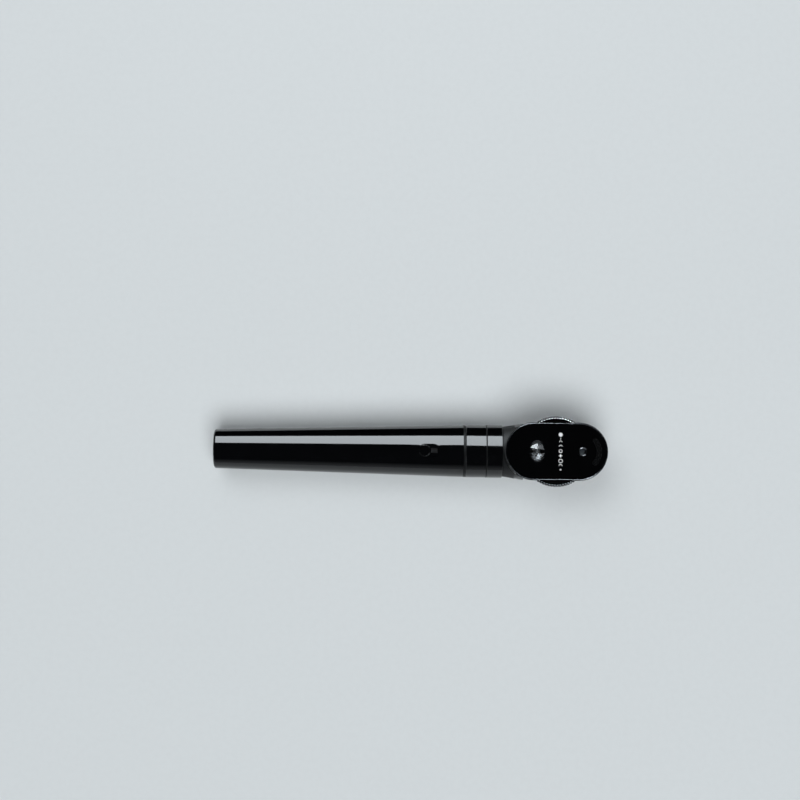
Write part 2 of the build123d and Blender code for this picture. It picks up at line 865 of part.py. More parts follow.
screw_circle = wheel_radius + boss_radius + 3 * gap
neck_screw_side = bracket_width / 2 + boss_radius + gap
beside_lens_wheel = wheel_station - sqrt(screw_circle**2 - neck_screw_side**2)
neck_screw_station = min(beside_lens_wheel, aperture_start - boss_radius - gap)
tip_screw_station = wheel_station + sqrt(screw_circle**2 - tip_screw_side**2)
screw_points = [(neck_screw_station, side * neck_screw_side) for side in (1, -1)]
screw_points += [(tip_screw_station, side * tip_screw_side) for side in (1, -1)]
chassis_screw_side = cover_inside - ledge_width / 2
chassis_screw_points = [(wheel_station, side * chassis_screw_side) for side in (1, -1)]

head_outside = head_form(0)
head_inside = head_form(cover_wall)
slant_plane = Plane(
    origin=(butt_x + window_station, 0, axis_height + slant_point(window_station)[1]),
    x_dir=(along_slant[0], 0, along_slant[1]),
    z_dir=(-into_head[0], 0, -into_head[1]),
)
aperture_chord = sqrt(aperture_radius**2 - (patient_depth - cover_wall - aperture_drop) ** 2)

with BuildPart() as patient_cover:
    add(head_outside)
    add(head_inside, mode=Mode.SUBTRACT)
    # bosses for the housing screws and ledges for the chassis
    with BuildSketch(height_plane(-patient_depth + cover_wall)):
        with Locations(*screw_points):
            Circle(boss_radius)
    extrude(amount=patient_depth - cover_wall + split_height)
    with BuildSketch(height_plane(chassis_bottom - ledge_depth)):
        with Locations(*chassis_screw_points):
            Rectangle(ledge_length, ledge_width + fit_clearance)
    extrude(amount=ledge_depth)
    add(head_outside, mode=Mode.INTERSECT)
    split(bisect_by=height_plane(split_height), keep=Keep.BOTTOM)
    with BuildSketch(height_plane(split_height)):
        with Locations(*screw_points):
            Circle(screw_radius)
    extrude(amount=-screw_reach - gap, mode=Mode.SUBTRACT)
    with BuildSketch(height_plane(chassis_bottom)):
        with Locations(*chassis_screw_points):
            Circle(screw_radius)
    extrude(amount=-ledge_depth, mode=Mode.SUBTRACT)
    # finger dish and slot for the aperture wheel
    with Locations((butt_x + aperture_station, 0, scoop_depth - scoop_radius)):
        Sphere(scoop_radius, mode=Mode.SUBTRACT)
    with BuildSketch(height_plane(-patient_depth)):
        with Locations((aperture_station, 0)):
            Rectangle(aperture_thickness + 2 * gap, 2 * (aperture_chord + gap))
    extrude(amount=cover_wall + gap, mode=Mode.SUBTRACT)
    # oval light window with a ledge for its pane
    with BuildSketch(slant_plane):
        SlotOverall(window_length, window_width)
    extrude(amount=-window_thickness, mode=Mode.SUBTRACT)
    with BuildSketch(slant_plane):
        SlotOverall(window_length - 2 * window_ledge, window_width - 2 * window_ledge)
    extrude(amount=-2 * cover_wall, mode=Mode.SUBTRACT)
patient_cover.part.label = "patient_cover"
export_step(patient_cover.part, "parts/patient_cover.step")

with BuildPart() as front_window:
    with BuildSketch(slant_plane.offset(-window_thickness)):
        SlotOverall(window_length - 2 * fit_clearance, window_width - 2 * fit_clearance)
    extrude(amount=window_thickness - fit_clearance)
front_window.part.label = "front_window"
export_step(front_window.part, "parts/front_window.step")

sight_flange_radius = sight_radius + sight_sink
with BuildPart() as eyepiece_cover:
    add(head_outside)
    add(head_inside, mode=Mode.SUBTRACT)
    # the key that locks the covers to the head base
    revolve(
        half_section(
            (key_station + fit_clearance, tongue_radius - key_depth + fit_clearance),
            (key_station + key_width - fit_clearance, tongue_radius - key_depth + fit_clearance),
            (key_station + key_width - fit_clearance, base_radius - neck_dip - cover_wall / 2),
            (key_station + fit_clearance, base_radius - neck_dip - cover_wall / 2),
        ),
        axis=handle_axis,
    )
    split(bisect_by=height_plane(split_height), keep=Keep.TOP)
    with BuildSketch(height_plane(split_height)):
        with Locations(*screw_points):
            Circle(boss_radius)
    extrude(amount=ceiling - split_height)
    # screw holes, their heads hidden under the face plate
    with BuildSketch(height_plane(split_height)):
        with Locations(*screw_points):
            Circle(screw_radius + fit_clearance)
    extrude(amount=cover_top - split_height, mode=Mode.SUBTRACT)
    with BuildSketch(height_plane(plate_bottom - screw_head_height)):
        with Locations(*screw_points):
            Circle(screw_head_radius + fit_clearance)
    extrude(amount=screw_head_height, mode=Mode.SUBTRACT)
    # seat of the face plate, with the openings of the two windows below it
    with BuildSketch(height_plane(plate_bottom)):
        with Locations((plate_middle, 0)):
            SlotOverall(plate_length + 2 * fit_clearance, plate_width + 2 * fit_clearance)
    extrude(amount=plate_inset, mode=Mode.SUBTRACT)
    with BuildSketch(height_plane(ceiling)):
        with Locations((display_station, 0)):
            Ellipse(display_half_length + display_flange, display_half_width + display_flange)
        with Locations((sight_station, 0)):
            Circle(sight_flange_radius)
    extrude(amount=cover_wall, mode=Mode.SUBTRACT)
    # the lens wheel reaches out through a slot on each side
    with BuildSketch(wheel_plane(split_height)):
        Circle(wheel_radius + 2 * gap)
    extrude(amount=wheel_thickness + 2 * gap, mode=Mode.SUBTRACT)
eyepiece_cover.part.label = "eyepiece_cover"
export_step(eyepiece_cover.part, "parts/eyepiece_cover.step")

with BuildPart() as housing_screws:
    with BuildSketch(height_plane(split_height - screw_reach)):
        with Locations(*screw_points):
            Circle(screw_radius)
    extrude(amount=screw_reach + plate_bottom - screw_head_height - split_height)
    with BuildSketch(height_plane(plate_bottom - screw_head_height)):
        with Locations(*screw_points):
            Circle(screw_head_radius)
    extrude(amount=screw_head_height - fit_clearance)
housing_screws.part.label = "housing_screws"
export_step(housing_screws.part, "parts/housing_screws.step")

# ---------------------------------------------------------------- face plate and its windows
with BuildPart() as face_plate:
    with BuildSketch(height_plane(plate_bottom)):
        with Locations((plate_middle, 0)):
            SlotOverall(plate_length, plate_width)
    extrude(amount=plate_thickness)
    with BuildSketch(height_plane(plate_bottom)):
        with Locations((sight_station, 0)):
            Circle(sight_radius)
        with Locations((display_station, 0)):
            Ellipse(display_half_length + fit_clearance, display_half_width + fit_clearance)
    extrude(amount=plate_thickness, mode=Mode.SUBTRACT)
    # both holes widen towards the top, and the rim is eased
    top_rims = face_plate.faces().sort_by(Axis.Z)[-1].inner_wires().sort_by(Axis.X)
    chamfer(top_rims[0].edges(), display_bevel)
    chamfer(top_rims[1].edges(), sight_sink)
    outer_rim = face_plate.faces().sort_by(Axis.Z)[-1].outer_wire()
    fillet(outer_rim.edges(), plate_thickness / 4)
    # bed of the brow rest around the sight hole
    brow_bed = ring_sector(
        wheel_plane(plate_top + brow_rise - brow_thickness, sight_station),
        brow_inner - fit_clearance,
        brow_outer + fit_clearance,
        -brow_turn / 2 - brow_bed_spare,
        brow_turn + 2 * brow_bed_spare,
    )
    extrude(brow_bed, amount=brow_thickness, mode=Mode.SUBTRACT)
face_plate.part.label = "face_plate"
export_step(face_plate.part, "parts/face_plate.step")

with BuildPart() as brow_rest:
    brow_arc = ring_sector(
        wheel_plane(plate_top + brow_rise - brow_thickness, sight_station),
        brow_inner,
        brow_outer,
        -brow_turn / 2,
        brow_turn,
    )
    extrude(brow_arc, amount=brow_thickness)
    fillet(brow_rest.edges().filter_by(Axis.Z), (brow_outer - brow_inner) / 2.5)
brow_rest.part.label = "brow_rest"
export_step(brow_rest.part, "parts/brow_rest.step")

with BuildPart() as magnifier:
    with BuildSketch(height_plane(ceiling)):
        with Locations((display_station, 0)):
            Ellipse(display_half_length, display_half_width)
    extrude(amount=plate_top + display_rise - ceiling)
    dome_centre = axis_height + plate_top + display_rise - display_dome_radius
    with Locations((butt_x + display_station, 0, dome_centre)):
        Sphere(display_dome_radius, mode=Mode.INTERSECT)
    with BuildSketch(height_plane(ceiling)):
        with Locations((display_station, 0)):
            Ellipse(
                display_half_length + display_flange - fit_clearance,
                display_half_width + display_flange - fit_clearance,
            )
    extrude(amount=plate_bottom - ceiling)
magnifier.part.label = "magnifier"
export_step(magnifier.part, "parts/magnifier.step")

with BuildPart() as sight_glass:
    with BuildSketch(height_plane(plate_bottom - sight_glass_thickness)):
        with Locations((sight_station, 0)):
            Circle(sight_flange_radius - fit_clearance)
    extrude(amount=sight_glass_thickness)
sight_glass.part.label = "sight_glass"
export_step(sight_glass.part, "parts/sight_glass.step")

# ---------------------------------------------------------------- optics chassis
chassis_start = front_barrel_start
chassis_inset = cover_wall + gap
axle_bracket_bottom = -aperture_drop - aperture_hub_radius + gap
rear_bracket = rear_barrel_end - bracket_thickness
tail_saddle = front_barrel_end - 2 * bracket_thickness
post_station = wheel_station - detent_pitch_radius
post_top = wheel_height - 2 * gap
post_bottom = barrel_radius + detent_over_barrel

with BuildPart() as optics_chassis:
    with BuildSketch(height_plane(chassis_bottom)):
        with Locations(((head_start + head_end) / 2, 0)):
            SlotOverall(head_length - 2 * chassis_inset, head_width - 2 * chassis_inset)
        with Locations(((chassis_start + tip_screw_station - boss_radius - gap) / 2, 0)):
            Rectangle(
                tip_screw_station - boss_radius - gap - chassis_start,
                head_width,
                mode=Mode.INTERSECT,
            )
        with Locations(((rear_bracket + chassis_start) / 2, 0)):
            Rectangle(chassis_start - rear_bracket, bracket_width)
        with Locations((sight_station, 0)):
            Circle(chassis_sight_radius, mode=Mode.SUBTRACT)
        with Locations((wheel_station, 0)):
            Circle(axle_screw_radius, mode=Mode.SUBTRACT)
        with Locations(*chassis_screw_points):
            Circle(screw_radius + fit_clearance, mode=Mode.SUBTRACT)
    extrude(amount=chassis_thickness)
    # two brackets carry the barrels and the aperture axle, and a saddle the long barrel's tail
    for bracket_start, bracket_bottom in (
        (rear_bracket, axle_bracket_bottom),
        (front_barrel_start, axle_bracket_bottom),
        (tail_saddle, -barrel_radius - saddle_depth),
    ):
        with BuildSketch(station_plane(bracket_start)):
            with Locations((0, (bracket_bottom + chassis_bottom) / 2)):
                Rectangle(bracket_width, chassis_bottom - bracket_bottom)
            Circle(barrel_radius + fit_clearance / 2, mode=Mode.SUBTRACT)
            with Locations((0, -aperture_drop)):
                Circle(aperture_axle_radius, mode=Mode.SUBTRACT)
        extrude(amount=bracket_thickness)
    # post of the lens wheel's detent, with a blind bore for its spring and ball
    with BuildSketch(wheel_plane(post_bottom, post_station)):
        Circle(detent_post_radius)
    extrude(amount=post_top - post_bottom)
    with BuildSketch(wheel_plane(post_bottom + gap, post_station)):
        Circle(detent_ball_radius + running_clearance)
    extrude(amount=post_top - post_bottom, mode=Mode.SUBTRACT)
optics_chassis.part.label = "optics_chassis"
export_step(optics_chassis.part, "parts/optics_chassis.step")

with BuildPart() as chassis_screws:
    with BuildSketch(height_plane(chassis_bottom - ledge_depth)):
        with Locations(*chassis_screw_points):
            Circle(screw_radius)
    extrude(amount=ledge_depth + chassis_thickness)
    with BuildSketch(height_plane(chassis_top)):
        with Locations(*chassis_screw_points):
            Circle(screw_head_radius)
    extrude(amount=screw_head_height)
chassis_screws.part.label = "chassis_screws"
export_step(chassis_screws.part, "parts/chassis_screws.step")


def barrel(start, length):
    """A lens barrel on the light path."""
    with BuildPart() as tube:
        with BuildSketch(station_plane(start)):
            Circle(barrel_radius)
            Circle(barrel_radius - barrel_wall, mode=Mode.SUBTRACT)
        extrude(amount=length)
    return tube.part


def path_lens(station, middle):
    """A lens in a barrel, across the light path at a station."""
    plane = Plane(origin=(butt_x + station, 0, axis_height), x_dir=(0, 0, 1), z_dir=(0, 1, 0))
    return lens_body(plane, barrel_radius - barrel_wall - fit_clearance / 2, middle, optic_edge)


rear_barrel = barrel(rear_barrel_start, rear_barrel_length)
rear_barrel.label = "rear_barrel"
export_step(rear_barrel, "parts/rear_barrel.step")

front_barrel = barrel(front_barrel_start, front_barrel_end - front_barrel_start)
front_barrel.label = "front_barrel"
export_step(front_barrel, "parts/front_barrel.step")

condenser_lens = path_lens(rear_barrel_start + rear_barrel_length / 2, optic_thickness)
condenser_lens.label = "condenser_lens"
export_step(condenser_lens, "parts/condenser_lens.step")

objective_lens = path_lens(front_barrel_end - optic_thickness, optic_thickness)
objective_lens.label = "objective_lens"
export_step(objective_lens, "parts/objective_lens.step")

# the mirror turns the light down through the window, just clear of the line of sight
mirror_plane = Plane(
    origin=(butt_x + mirror_station, 0, axis_height),
    x_dir=(cos(pi / 4), 0, -sin(pi / 4)),
    z_dir=(sin(pi / 4), 0, cos(pi / 4)),
)
with BuildPart() as mirror:
    with BuildSketch(mirror_plane):
        Rectangle(mirror_length, mirror_width)
    extrude(amount=mirror_thickness)
mirror.part.label = "mirror"
export_step(mirror.part, "parts/mirror.step")

holder_face = mirror_station + mirror_half + mirror_depth
back_offset = 2 * mirror_depth
with BuildPart() as mirror_holder:
    extrude(
        half_section(
            (mirror_station + back_offset - chassis_bottom, chassis_bottom),
            (holder_face, chassis_bottom),
            (holder_face, mirror_station + back_offset - holder_face),
        ),
        amount=mirror_width / 2,
        both=True,
    )
mirror_holder.part.label = "mirror_holder"
export_step(mirror_holder.part, "parts/mirror_holder.step")

# ---------------------------------------------------------------- aperture wheel
aperture_plane = Plane(
    origin=(butt_x + aperture_station, 0, axis_height - aperture_drop),
    x_dir=(0, 0, 1),
    z_dir=(1, 0, 0),
)
rim_bore = aperture_radius - aperture_rim
disc_back = -aperture_disc_thickness / 2

with BuildPart() as aperture_axle:
    with BuildSketch(aperture_plane.offset(-aperture_thickness / 2 - gap - bracket_thickness)):
        Circle(aperture_axle_radius)
    extrude(amount=aperture_thickness + 2 * gap + 2 * bracket_thickness)
aperture_axle.part.label = "aperture_axle"
export_step(aperture_axle.part, "parts/aperture_axle.step")

with BuildPart() as aperture_wheel:
    with BuildSketch(aperture_plane.offset(-aperture_thickness / 2)):
        Circle(aperture_radius)
        with PolarLocations(aperture_radius, thumb_knurls):
            Circle(thumb_knurl_radius, mode=Mode.SUBTRACT)
        Circle(rim_bore, mode=Mode.SUBTRACT)
    extrude(amount=aperture_thickness)
    # ledge that the disc seats on
    with BuildSketch(aperture_plane.offset(-disc_back)):
        Circle(rim_bore)
        Circle(rim_bore - aperture_ledge, mode=Mode.SUBTRACT)
    extrude(amount=aperture_thickness / 2 + disc_back)
aperture_wheel.part.label = "aperture_wheel"
export_step(aperture_wheel.part, "parts/aperture_wheel.step")

with BuildPart() as aperture_disc:
    with BuildSketch(aperture_plane.offset(disc_back)):
        Circle(rim_bore - fit_clearance / 2)
    extrude(amount=aperture_disc_thickness)
    with BuildSketch(aperture_plane.offset(-aperture_thickness / 2)):
        Circle(aperture_hub_radius)
    extrude(amount=aperture_thickness)
    with BuildSketch(aperture_plane.offset(-aperture_thickness / 2)):
        Circle(aperture_axle_radius + running_clearance)
    extrude(amount=aperture_thickness, mode=Mode.SUBTRACT)
    # large spot, small spot, half circle, slit, cross, and the opening of the green filter
    with BuildSketch(aperture_plane.offset(disc_back)):
        with PolarLocations(aperture_drop, 1, 0):
            Circle(large_spot_radius)
        with PolarLocations(aperture_drop, 1, 60):
            Circle(small_spot_radius)
        with PolarLocations(aperture_drop, 1, 120):
            Circle(large_spot_radius)
            Rectangle(
                large_spot_radius,
                2 * large_spot_radius,
                align=(Align.MAX, Align.CENTER),
                mode=Mode.SUBTRACT,
            )
        with PolarLocations(aperture_drop, 1, 180):
            Rectangle(slit_width, 2 * large_spot_radius)
        with PolarLocations(aperture_drop, 1, 240):
            Rectangle(slit_width, 2 * large_spot_radius)
            Rectangle(2 * large_spot_radius, slit_width)
        with PolarLocations(aperture_drop, 1, 300):
            Circle(large_spot_radius)
    extrude(amount=aperture_disc_thickness, mode=Mode.SUBTRACT)
aperture_disc.part.label = "aperture_disc"
export_step(aperture_disc.part, "parts/aperture_disc.step")

with BuildPart() as red_free_filter:
    with BuildSketch(aperture_plane.offset(disc_back - filter_thickness)):
        with PolarLocations(aperture_drop, 1, 300):
            Circle(large_spot_radius + filter_rim)
    extrude(amount=filter_thickness)
red_free_filter.part.label = "red_free_filter"
export_step(red_free_filter.part, "parts/red_free_filter.step")

# ---------------------------------------------------------------- lens wheel
seat_depth = lens_edge + 4 * fit_clearance
lens_height = wheel_top - seat_depth + fit_clearance + lens_edge / 2
lens_turn = 360 / lens_positions

with BuildPart() as lens_wheel:
    with BuildSketch(wheel_plane(wheel_height)):
        Circle(wheel_radius)
        with PolarLocations(wheel_radius, knurl_count):
            Circle(knurl_radius, mode=Mode.SUBTRACT)
    extrude(amount=wheel_thickness)
    with BuildSketch(wheel_plane(chassis_top + running_clearance)):
        Circle(hub_radius)
    extrude(amount=wheel_height - chassis_top - running_clearance)
    with BuildSketch(wheel_plane(chassis_top)):
        Circle(axle_radius + running_clearance)
        with PolarLocations(lens_pitch_radius, lens_positions):
            Circle(lens_radius - lens_step)
    extrude(amount=wheel_top - chassis_top, mode=Mode.SUBTRACT)
    with BuildSketch(wheel_plane(wheel_top)):
        with PolarLocations(lens_pitch_radius, lens_positions):
            Circle(lens_radius)
    extrude(amount=-seat_depth, mode=Mode.SUBTRACT)
    # a dimple under each position clicks on the detent ball
    with Locations(wheel_plane(wheel_height + detent_dimple - detent_ball_radius)):
        with PolarLocations(detent_pitch_radius, lens_positions, start_angle=180):
            Sphere(detent_ball_radius, mode=Mode.SUBTRACT)
lens_wheel.part.label = "lens_wheel"
export_step(lens_wheel.part, "parts/lens_wheel.step")

# position 0 is open; plus lenses follow it one way round and minus lenses the other
with BuildPart() as corrective_lenses:
    for position in range(1, lens_positions):
        power = position if position < lens_positions / 2 else position - lens_positions
        lens_angle = radians(position * lens_turn)
        lens_x = butt_x + wheel_station + lens_pitch_radius * cos(lens_angle)
        lens_y = lens_pitch_radius * sin(lens_angle)
        lens_plane = Plane(
            origin=(lens_x, lens_y, axis_height + lens_height), x_dir=(1, 0, 0), z_dir=(0, -1, 0)
        )
        lens_middle = lens_edge + power * lens_power_step
        add(lens_body(lens_plane, lens_radius - fit_clearance / 2, lens_middle, lens_edge))
corrective_lenses.part.label = "corrective_lenses"
export_step(corrective_lenses.part, "parts/corrective_lenses.step")

with BuildPart() as dioptre_dial:
    with BuildSketch(wheel_plane(wheel_top)):
        Circle(dial_radius + dial_width / 2)
        Circle(dial_radius - dial_width / 2, mode=Mode.SUBTRACT)
    extrude(amount=dial_thickness)
dioptre_dial.part.label = "dioptre_dial"
export_step(dioptre_dial.part, "parts/dioptre_dial.step")

axle_head_height = wheel_top + running_clearance
with BuildPart() as wheel_axle:
    revolve(
        half_section(
            (wheel_station, chassis_bottom),
            (wheel_station + axle_screw_radius, chassis_bottom),
            (wheel_station + axle_screw_radius, chassis_top),
            (wheel_station + axle_radius, chassis_top),
            (wheel_station + axle_radius, axle_head_height),
            (wheel_station + axle_head_radius, axle_head_height),
            (wheel_station + axle_head_radius, axle_head_height + axle_head_thickness),
            (wheel_station, axle_head_height + axle_head_thickness),
        ),
        axis=wheel_axis,
    )
    with BuildSketch(wheel_plane(axle_head_height + axle_head_thickness)):
        Rectangle(2 * axle_head_radius, driver_slot)
    extrude(amount=-axle_head_thickness / 2, mode=Mode.SUBTRACT)
wheel_axle.part.label = "wheel_axle"
export_step(wheel_axle.part, "parts/wheel_axle.step")

ball_height = wheel_height - gap - detent_ball_radius
with BuildPart() as detent_ball:
    with Locations(wheel_plane(ball_height, post_station)):
        Sphere(detent_ball_radius)
detent_ball.part.label = "detent_ball"
export_step(detent_ball.part, "parts/detent_ball.step")

detent_floor = post_bottom + gap + detent_wire
detent_spring = coil_spring(
    wheel_plane(detent_floor, post_station),
    ball_height - detent_ball_radius - detent_wire - detent_floor,
    detent_ball_radius - detent_wire - fit_clearance,
    detent_wire,
    detent_turns,
)
detent_spring.label = "detent_spring"
export_step(detent_spring, "parts/detent_spring.step")
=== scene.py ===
"""Direct ophthalmoscope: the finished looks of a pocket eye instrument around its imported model.

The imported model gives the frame: every size and place here is read from its nodes' boxes or is a named size
of the piece that is made. All lengths are in metres, with the handle's axis along +X and the eyepiece side
facing +Z.
"""

from __future__ import annotations

import json
import logging
import math
from dataclasses import dataclass, field
from enum import Enum
from typing import Callable, Sequence

import bmesh
import bpy
from mathutils import Matrix, Vector

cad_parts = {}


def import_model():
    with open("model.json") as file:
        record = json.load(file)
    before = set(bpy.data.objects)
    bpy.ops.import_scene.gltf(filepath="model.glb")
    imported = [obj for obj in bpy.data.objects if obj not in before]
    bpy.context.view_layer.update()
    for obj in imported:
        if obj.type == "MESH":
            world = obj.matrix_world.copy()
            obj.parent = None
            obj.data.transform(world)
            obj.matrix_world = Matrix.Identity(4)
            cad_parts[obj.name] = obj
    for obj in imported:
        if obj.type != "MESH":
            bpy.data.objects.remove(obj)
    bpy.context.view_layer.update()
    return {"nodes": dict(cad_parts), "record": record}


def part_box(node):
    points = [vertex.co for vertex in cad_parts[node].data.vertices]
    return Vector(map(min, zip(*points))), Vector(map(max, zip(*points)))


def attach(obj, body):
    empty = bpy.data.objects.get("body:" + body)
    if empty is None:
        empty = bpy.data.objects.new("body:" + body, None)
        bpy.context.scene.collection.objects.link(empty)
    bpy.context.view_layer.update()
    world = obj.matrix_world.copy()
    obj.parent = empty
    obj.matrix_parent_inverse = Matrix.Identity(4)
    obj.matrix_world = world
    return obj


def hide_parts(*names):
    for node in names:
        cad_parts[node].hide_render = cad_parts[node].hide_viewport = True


LOG = logging.getLogger("ophthalmoscope")
MM = 0.001

Colour = tuple[float, float, float]
Point = tuple[float, float, float]


# ---------------------------------------------------------------- shader arithmetic
@dataclass
class Value:
    """A number in a shader, with arithmetic that adds Math nodes."""

    tree: "ShaderTree"
    socket: bpy.types.NodeSocket

    def _math(self, operation: str, *numbers: "Value | float") -> "Value":
        """Adds one Math node.

        Args:
            operation: The node's operation.
            numbers: Its inputs, in order.

        Returns:
            The node's result.
        """
        node = self.tree.node("ShaderNodeMath", {"operation": operation}, dict(enumerate(numbers)))
        return Value(self.tree, node.outputs[0])

    def __add__(self, other: "Value | float") -> "Value":
        """Sum."""
        return self._math("ADD", self, other)

    def __radd__(self, other: "Value | float") -> "Value":
        """Reflected sum."""
        return self._math("ADD", other, self)

    def __sub__(self, other: "Value | float") -> "Value":
        """Difference."""
        return self._math("SUBTRACT", self, other)

    def __rsub__(self, other: "Value | float") -> "Value":
        """Reflected difference."""
        return self._math("SUBTRACT", other, self)

    def __mul__(self, other: "Value | float") -> "Value":
        """Product."""
        return self._math("MULTIPLY", self, other)

    def __rmul__(self, other: "Value | float") -> "Value":
        """Reflected product."""
        return self._math("MULTIPLY", other, self)

    def __abs__(self) -> "Value":
        """Size without sign."""
        return self._math("ABSOLUTE", self)

    def ramp(self, low: float, high: float) -> "Value":
        """A smooth step between two numbers.

        Args:
            low: Where the step is 0.
            high: Where the step is 1; it may be under low.

        Returns:
            A number from 0 to 1.
        """
        if high < low:
            return 1.0 - self.ramp(high, low)
        node = self.tree.node(
            "ShaderNodeMapRange",
            {"interpolation_type": "SMOOTHSTEP", "clamp": True},
            {"Value": self, "From Min": low, "From Max": high},
        )
        return Value(self.tree, node.outputs[0])


@dataclass
class ShaderTree:
    """One material's nodes around a single Principled shader."""

    material: bpy.types.Material
    shader: bpy.types.Node = field(init=False)
    place: bpy.types.NodeSocket = field(init=False)

    def __post_init__(self) -> None:
        """Clears the material and adds its shader, its output and its object coordinates."""
        self.material.use_nodes = True
        self.material.node_tree.nodes.clear()
        self.shader = self.node("ShaderNodeBsdfPrincipled", {}, {})
        self.node("ShaderNodeOutputMaterial", {}, {"Surface": self.shader.outputs[0]})
        self.place = self.node("ShaderNodeTexCoord", {}, {}).outputs["Object"]

    def node(self, kind: str, settings: dict, inputs: dict) -> bpy.types.Node:
        """Adds a node.

        Args:
            kind: The node's type.
            settings: Its own properties, set first; "stops" are a colour ramp's stops.
            inputs: Values or links by socket name or number.

        Returns:
            The new node.
        """
        made = self.material.node_tree.nodes.new(kind)
        for name, value in settings.items():
            if name == "stops":
                self._set_stops(made.color_ramp, value)
            else:
                setattr(made, name, value)
        for name, value in inputs.items():
            self.plug(made.inputs[name], value)
        return made

    def plug(self, socket: bpy.types.NodeSocket, value: object) -> None:
        """Gives a socket a link or a constant.

        Args:
            socket: The input.
            value: A Value, a socket, a colour of three numbers, or a constant.
        """
        if isinstance(value, Value):
            self.material.node_tree.links.new(value.socket, socket)
        elif isinstance(value, bpy.types.NodeSocket):
            self.material.node_tree.links.new(value, socket)
        elif socket.type == "RGBA" and len(value) == 3:
            socket.default_value = (*value, 1.0)
        else:
            socket.default_value = value

    @staticmethod
    def _set_stops(ramp: bpy.types.ColorRamp, stops: Sequence[tuple[float, Colour]]) -> None:
        """Gives a colour ramp its stops.

        Args:
            ramp: The ramp.
            stops: Places from 0 to 1 with their colours.
        """
        while len(ramp.elements) < len(stops):
            ramp.elements.new(1.0)
        for element, (place, colour) in zip(ramp.elements, stops):
            element.position = place
            element.color = (*colour, 1.0)

    def set(self, **inputs: object) -> None:
        """Sets the shader's sockets; a name's underscores stand for spaces."""
        for name, value in inputs.items():
            self.plug(self.shader.inputs[name.replace("_", " ")], value)

    def stretched(self, scale: Point, centre: Point = (0.0, 0.0, 0.0)) -> bpy.types.NodeSocket:
        """Object coordinates about a centre, scaled along each axis.

        Args:
            scale: Scale along X, Y and Z.
            centre: The point that stays at the origin of the pattern.

        Returns:
            The scaled vector.
        """
        moved = self.node("ShaderNodeVectorMath", {"operation": "SUBTRACT"}, {0: self.place, 1: centre})
        scaled = self.node("ShaderNodeVectorMath", {"operation": "MULTIPLY"}, {0: moved.outputs[0], 1: scale})
        return scaled.outputs[0]

    def axes(self, centre: Point = (0.0, 0.0, 0.0)) -> tuple[Value, Value, Value]:
        """Object coordinates in millimetres about a centre, as three numbers."""
        split = self.node("ShaderNodeSeparateXYZ", {}, {0: self.stretched((1 / MM,) * 3, centre)})
        return tuple(Value(self, socket) for socket in split.outputs)

    def noise(
        self,
        scale: Point | float,
        detail: float = 3.0,
        roughness: float = 0.5,
        centre: Point = (0.0, 0.0, 0.0),
    ) -> Value:
        """Fractal noise on object coordinates.

        Args:
            scale: Cells per millimetre, alike or along each axis.
            detail: Octaves.
            roughness: How strong the fine octaves are.
            centre: Shifts the pattern.

        Returns:
            The noise, about 0.5.
        """
        along = (scale,) * 3 if isinstance(scale, (int, float)) else scale
        vector = self.stretched(tuple(part / MM for part in along), centre)
        made = self.node(
            "ShaderNodeTexNoise", {}, {"Vector": vector, "Scale": 1.0, "Detail": detail, "Roughness": roughness}
        )
        return Value(self, made.outputs[0])

    def cells(self, scale: Point | float, feature: str = "F1") -> Value:
        """Distance in a Voronoi pattern on object coordinates.

        Args:
            scale: Cells per millimetre, alike or along each axis.
            feature: The distance that is taken.

        Returns:
            The distance in cells.
        """
        along = (scale,) * 3 if isinstance(scale, (int, float)) else scale
        vector = self.stretched(tuple(part / MM for part in along))
        made = self.node("ShaderNodeTexVoronoi", {"feature": feature}, {"Vector": vector, "Scale": 1.0})
        return Value(self, made.outputs["Distance"])

    def blend(self, mask: Value | float, under: object, over: object) -> bpy.types.NodeSocket:
        """Mixes two colours.

        Args:
            mask: How much of the second shows.
            under: The first colour.
            over: The second colour.

        Returns:
            The mixed colour.
        """
        made = self.node("ShaderNodeMix", {"data_type": "RGBA"}, {})
        self.plug(made.inputs[0], mask)
        self.plug(made.inputs[6], under)
        self.plug(made.inputs[7], over)
        return made.outputs[2]

    def bump(self, height: Value, depth: float) -> None:
        """Raises the surface's shading by a height of 0 to 1 times a depth in metres."""
        made = self.node("ShaderNodeBump", {}, {"Height": height, "Distance": depth, "Strength": 1.0})
        self.set(Normal=made.outputs[0])


# ---------------------------------------------------------------- finishes
class Along(Enum):
    """The axis that a drawn or brushed finish runs along."""

    X = 0
    Y = 1
    Z = 2

    def stretch(self, fine: float, long: float) -> Point:
        """Pattern scales: long along this axis and fine across it."""
        return tuple(long if axis == self.value else fine for axis in range(3))


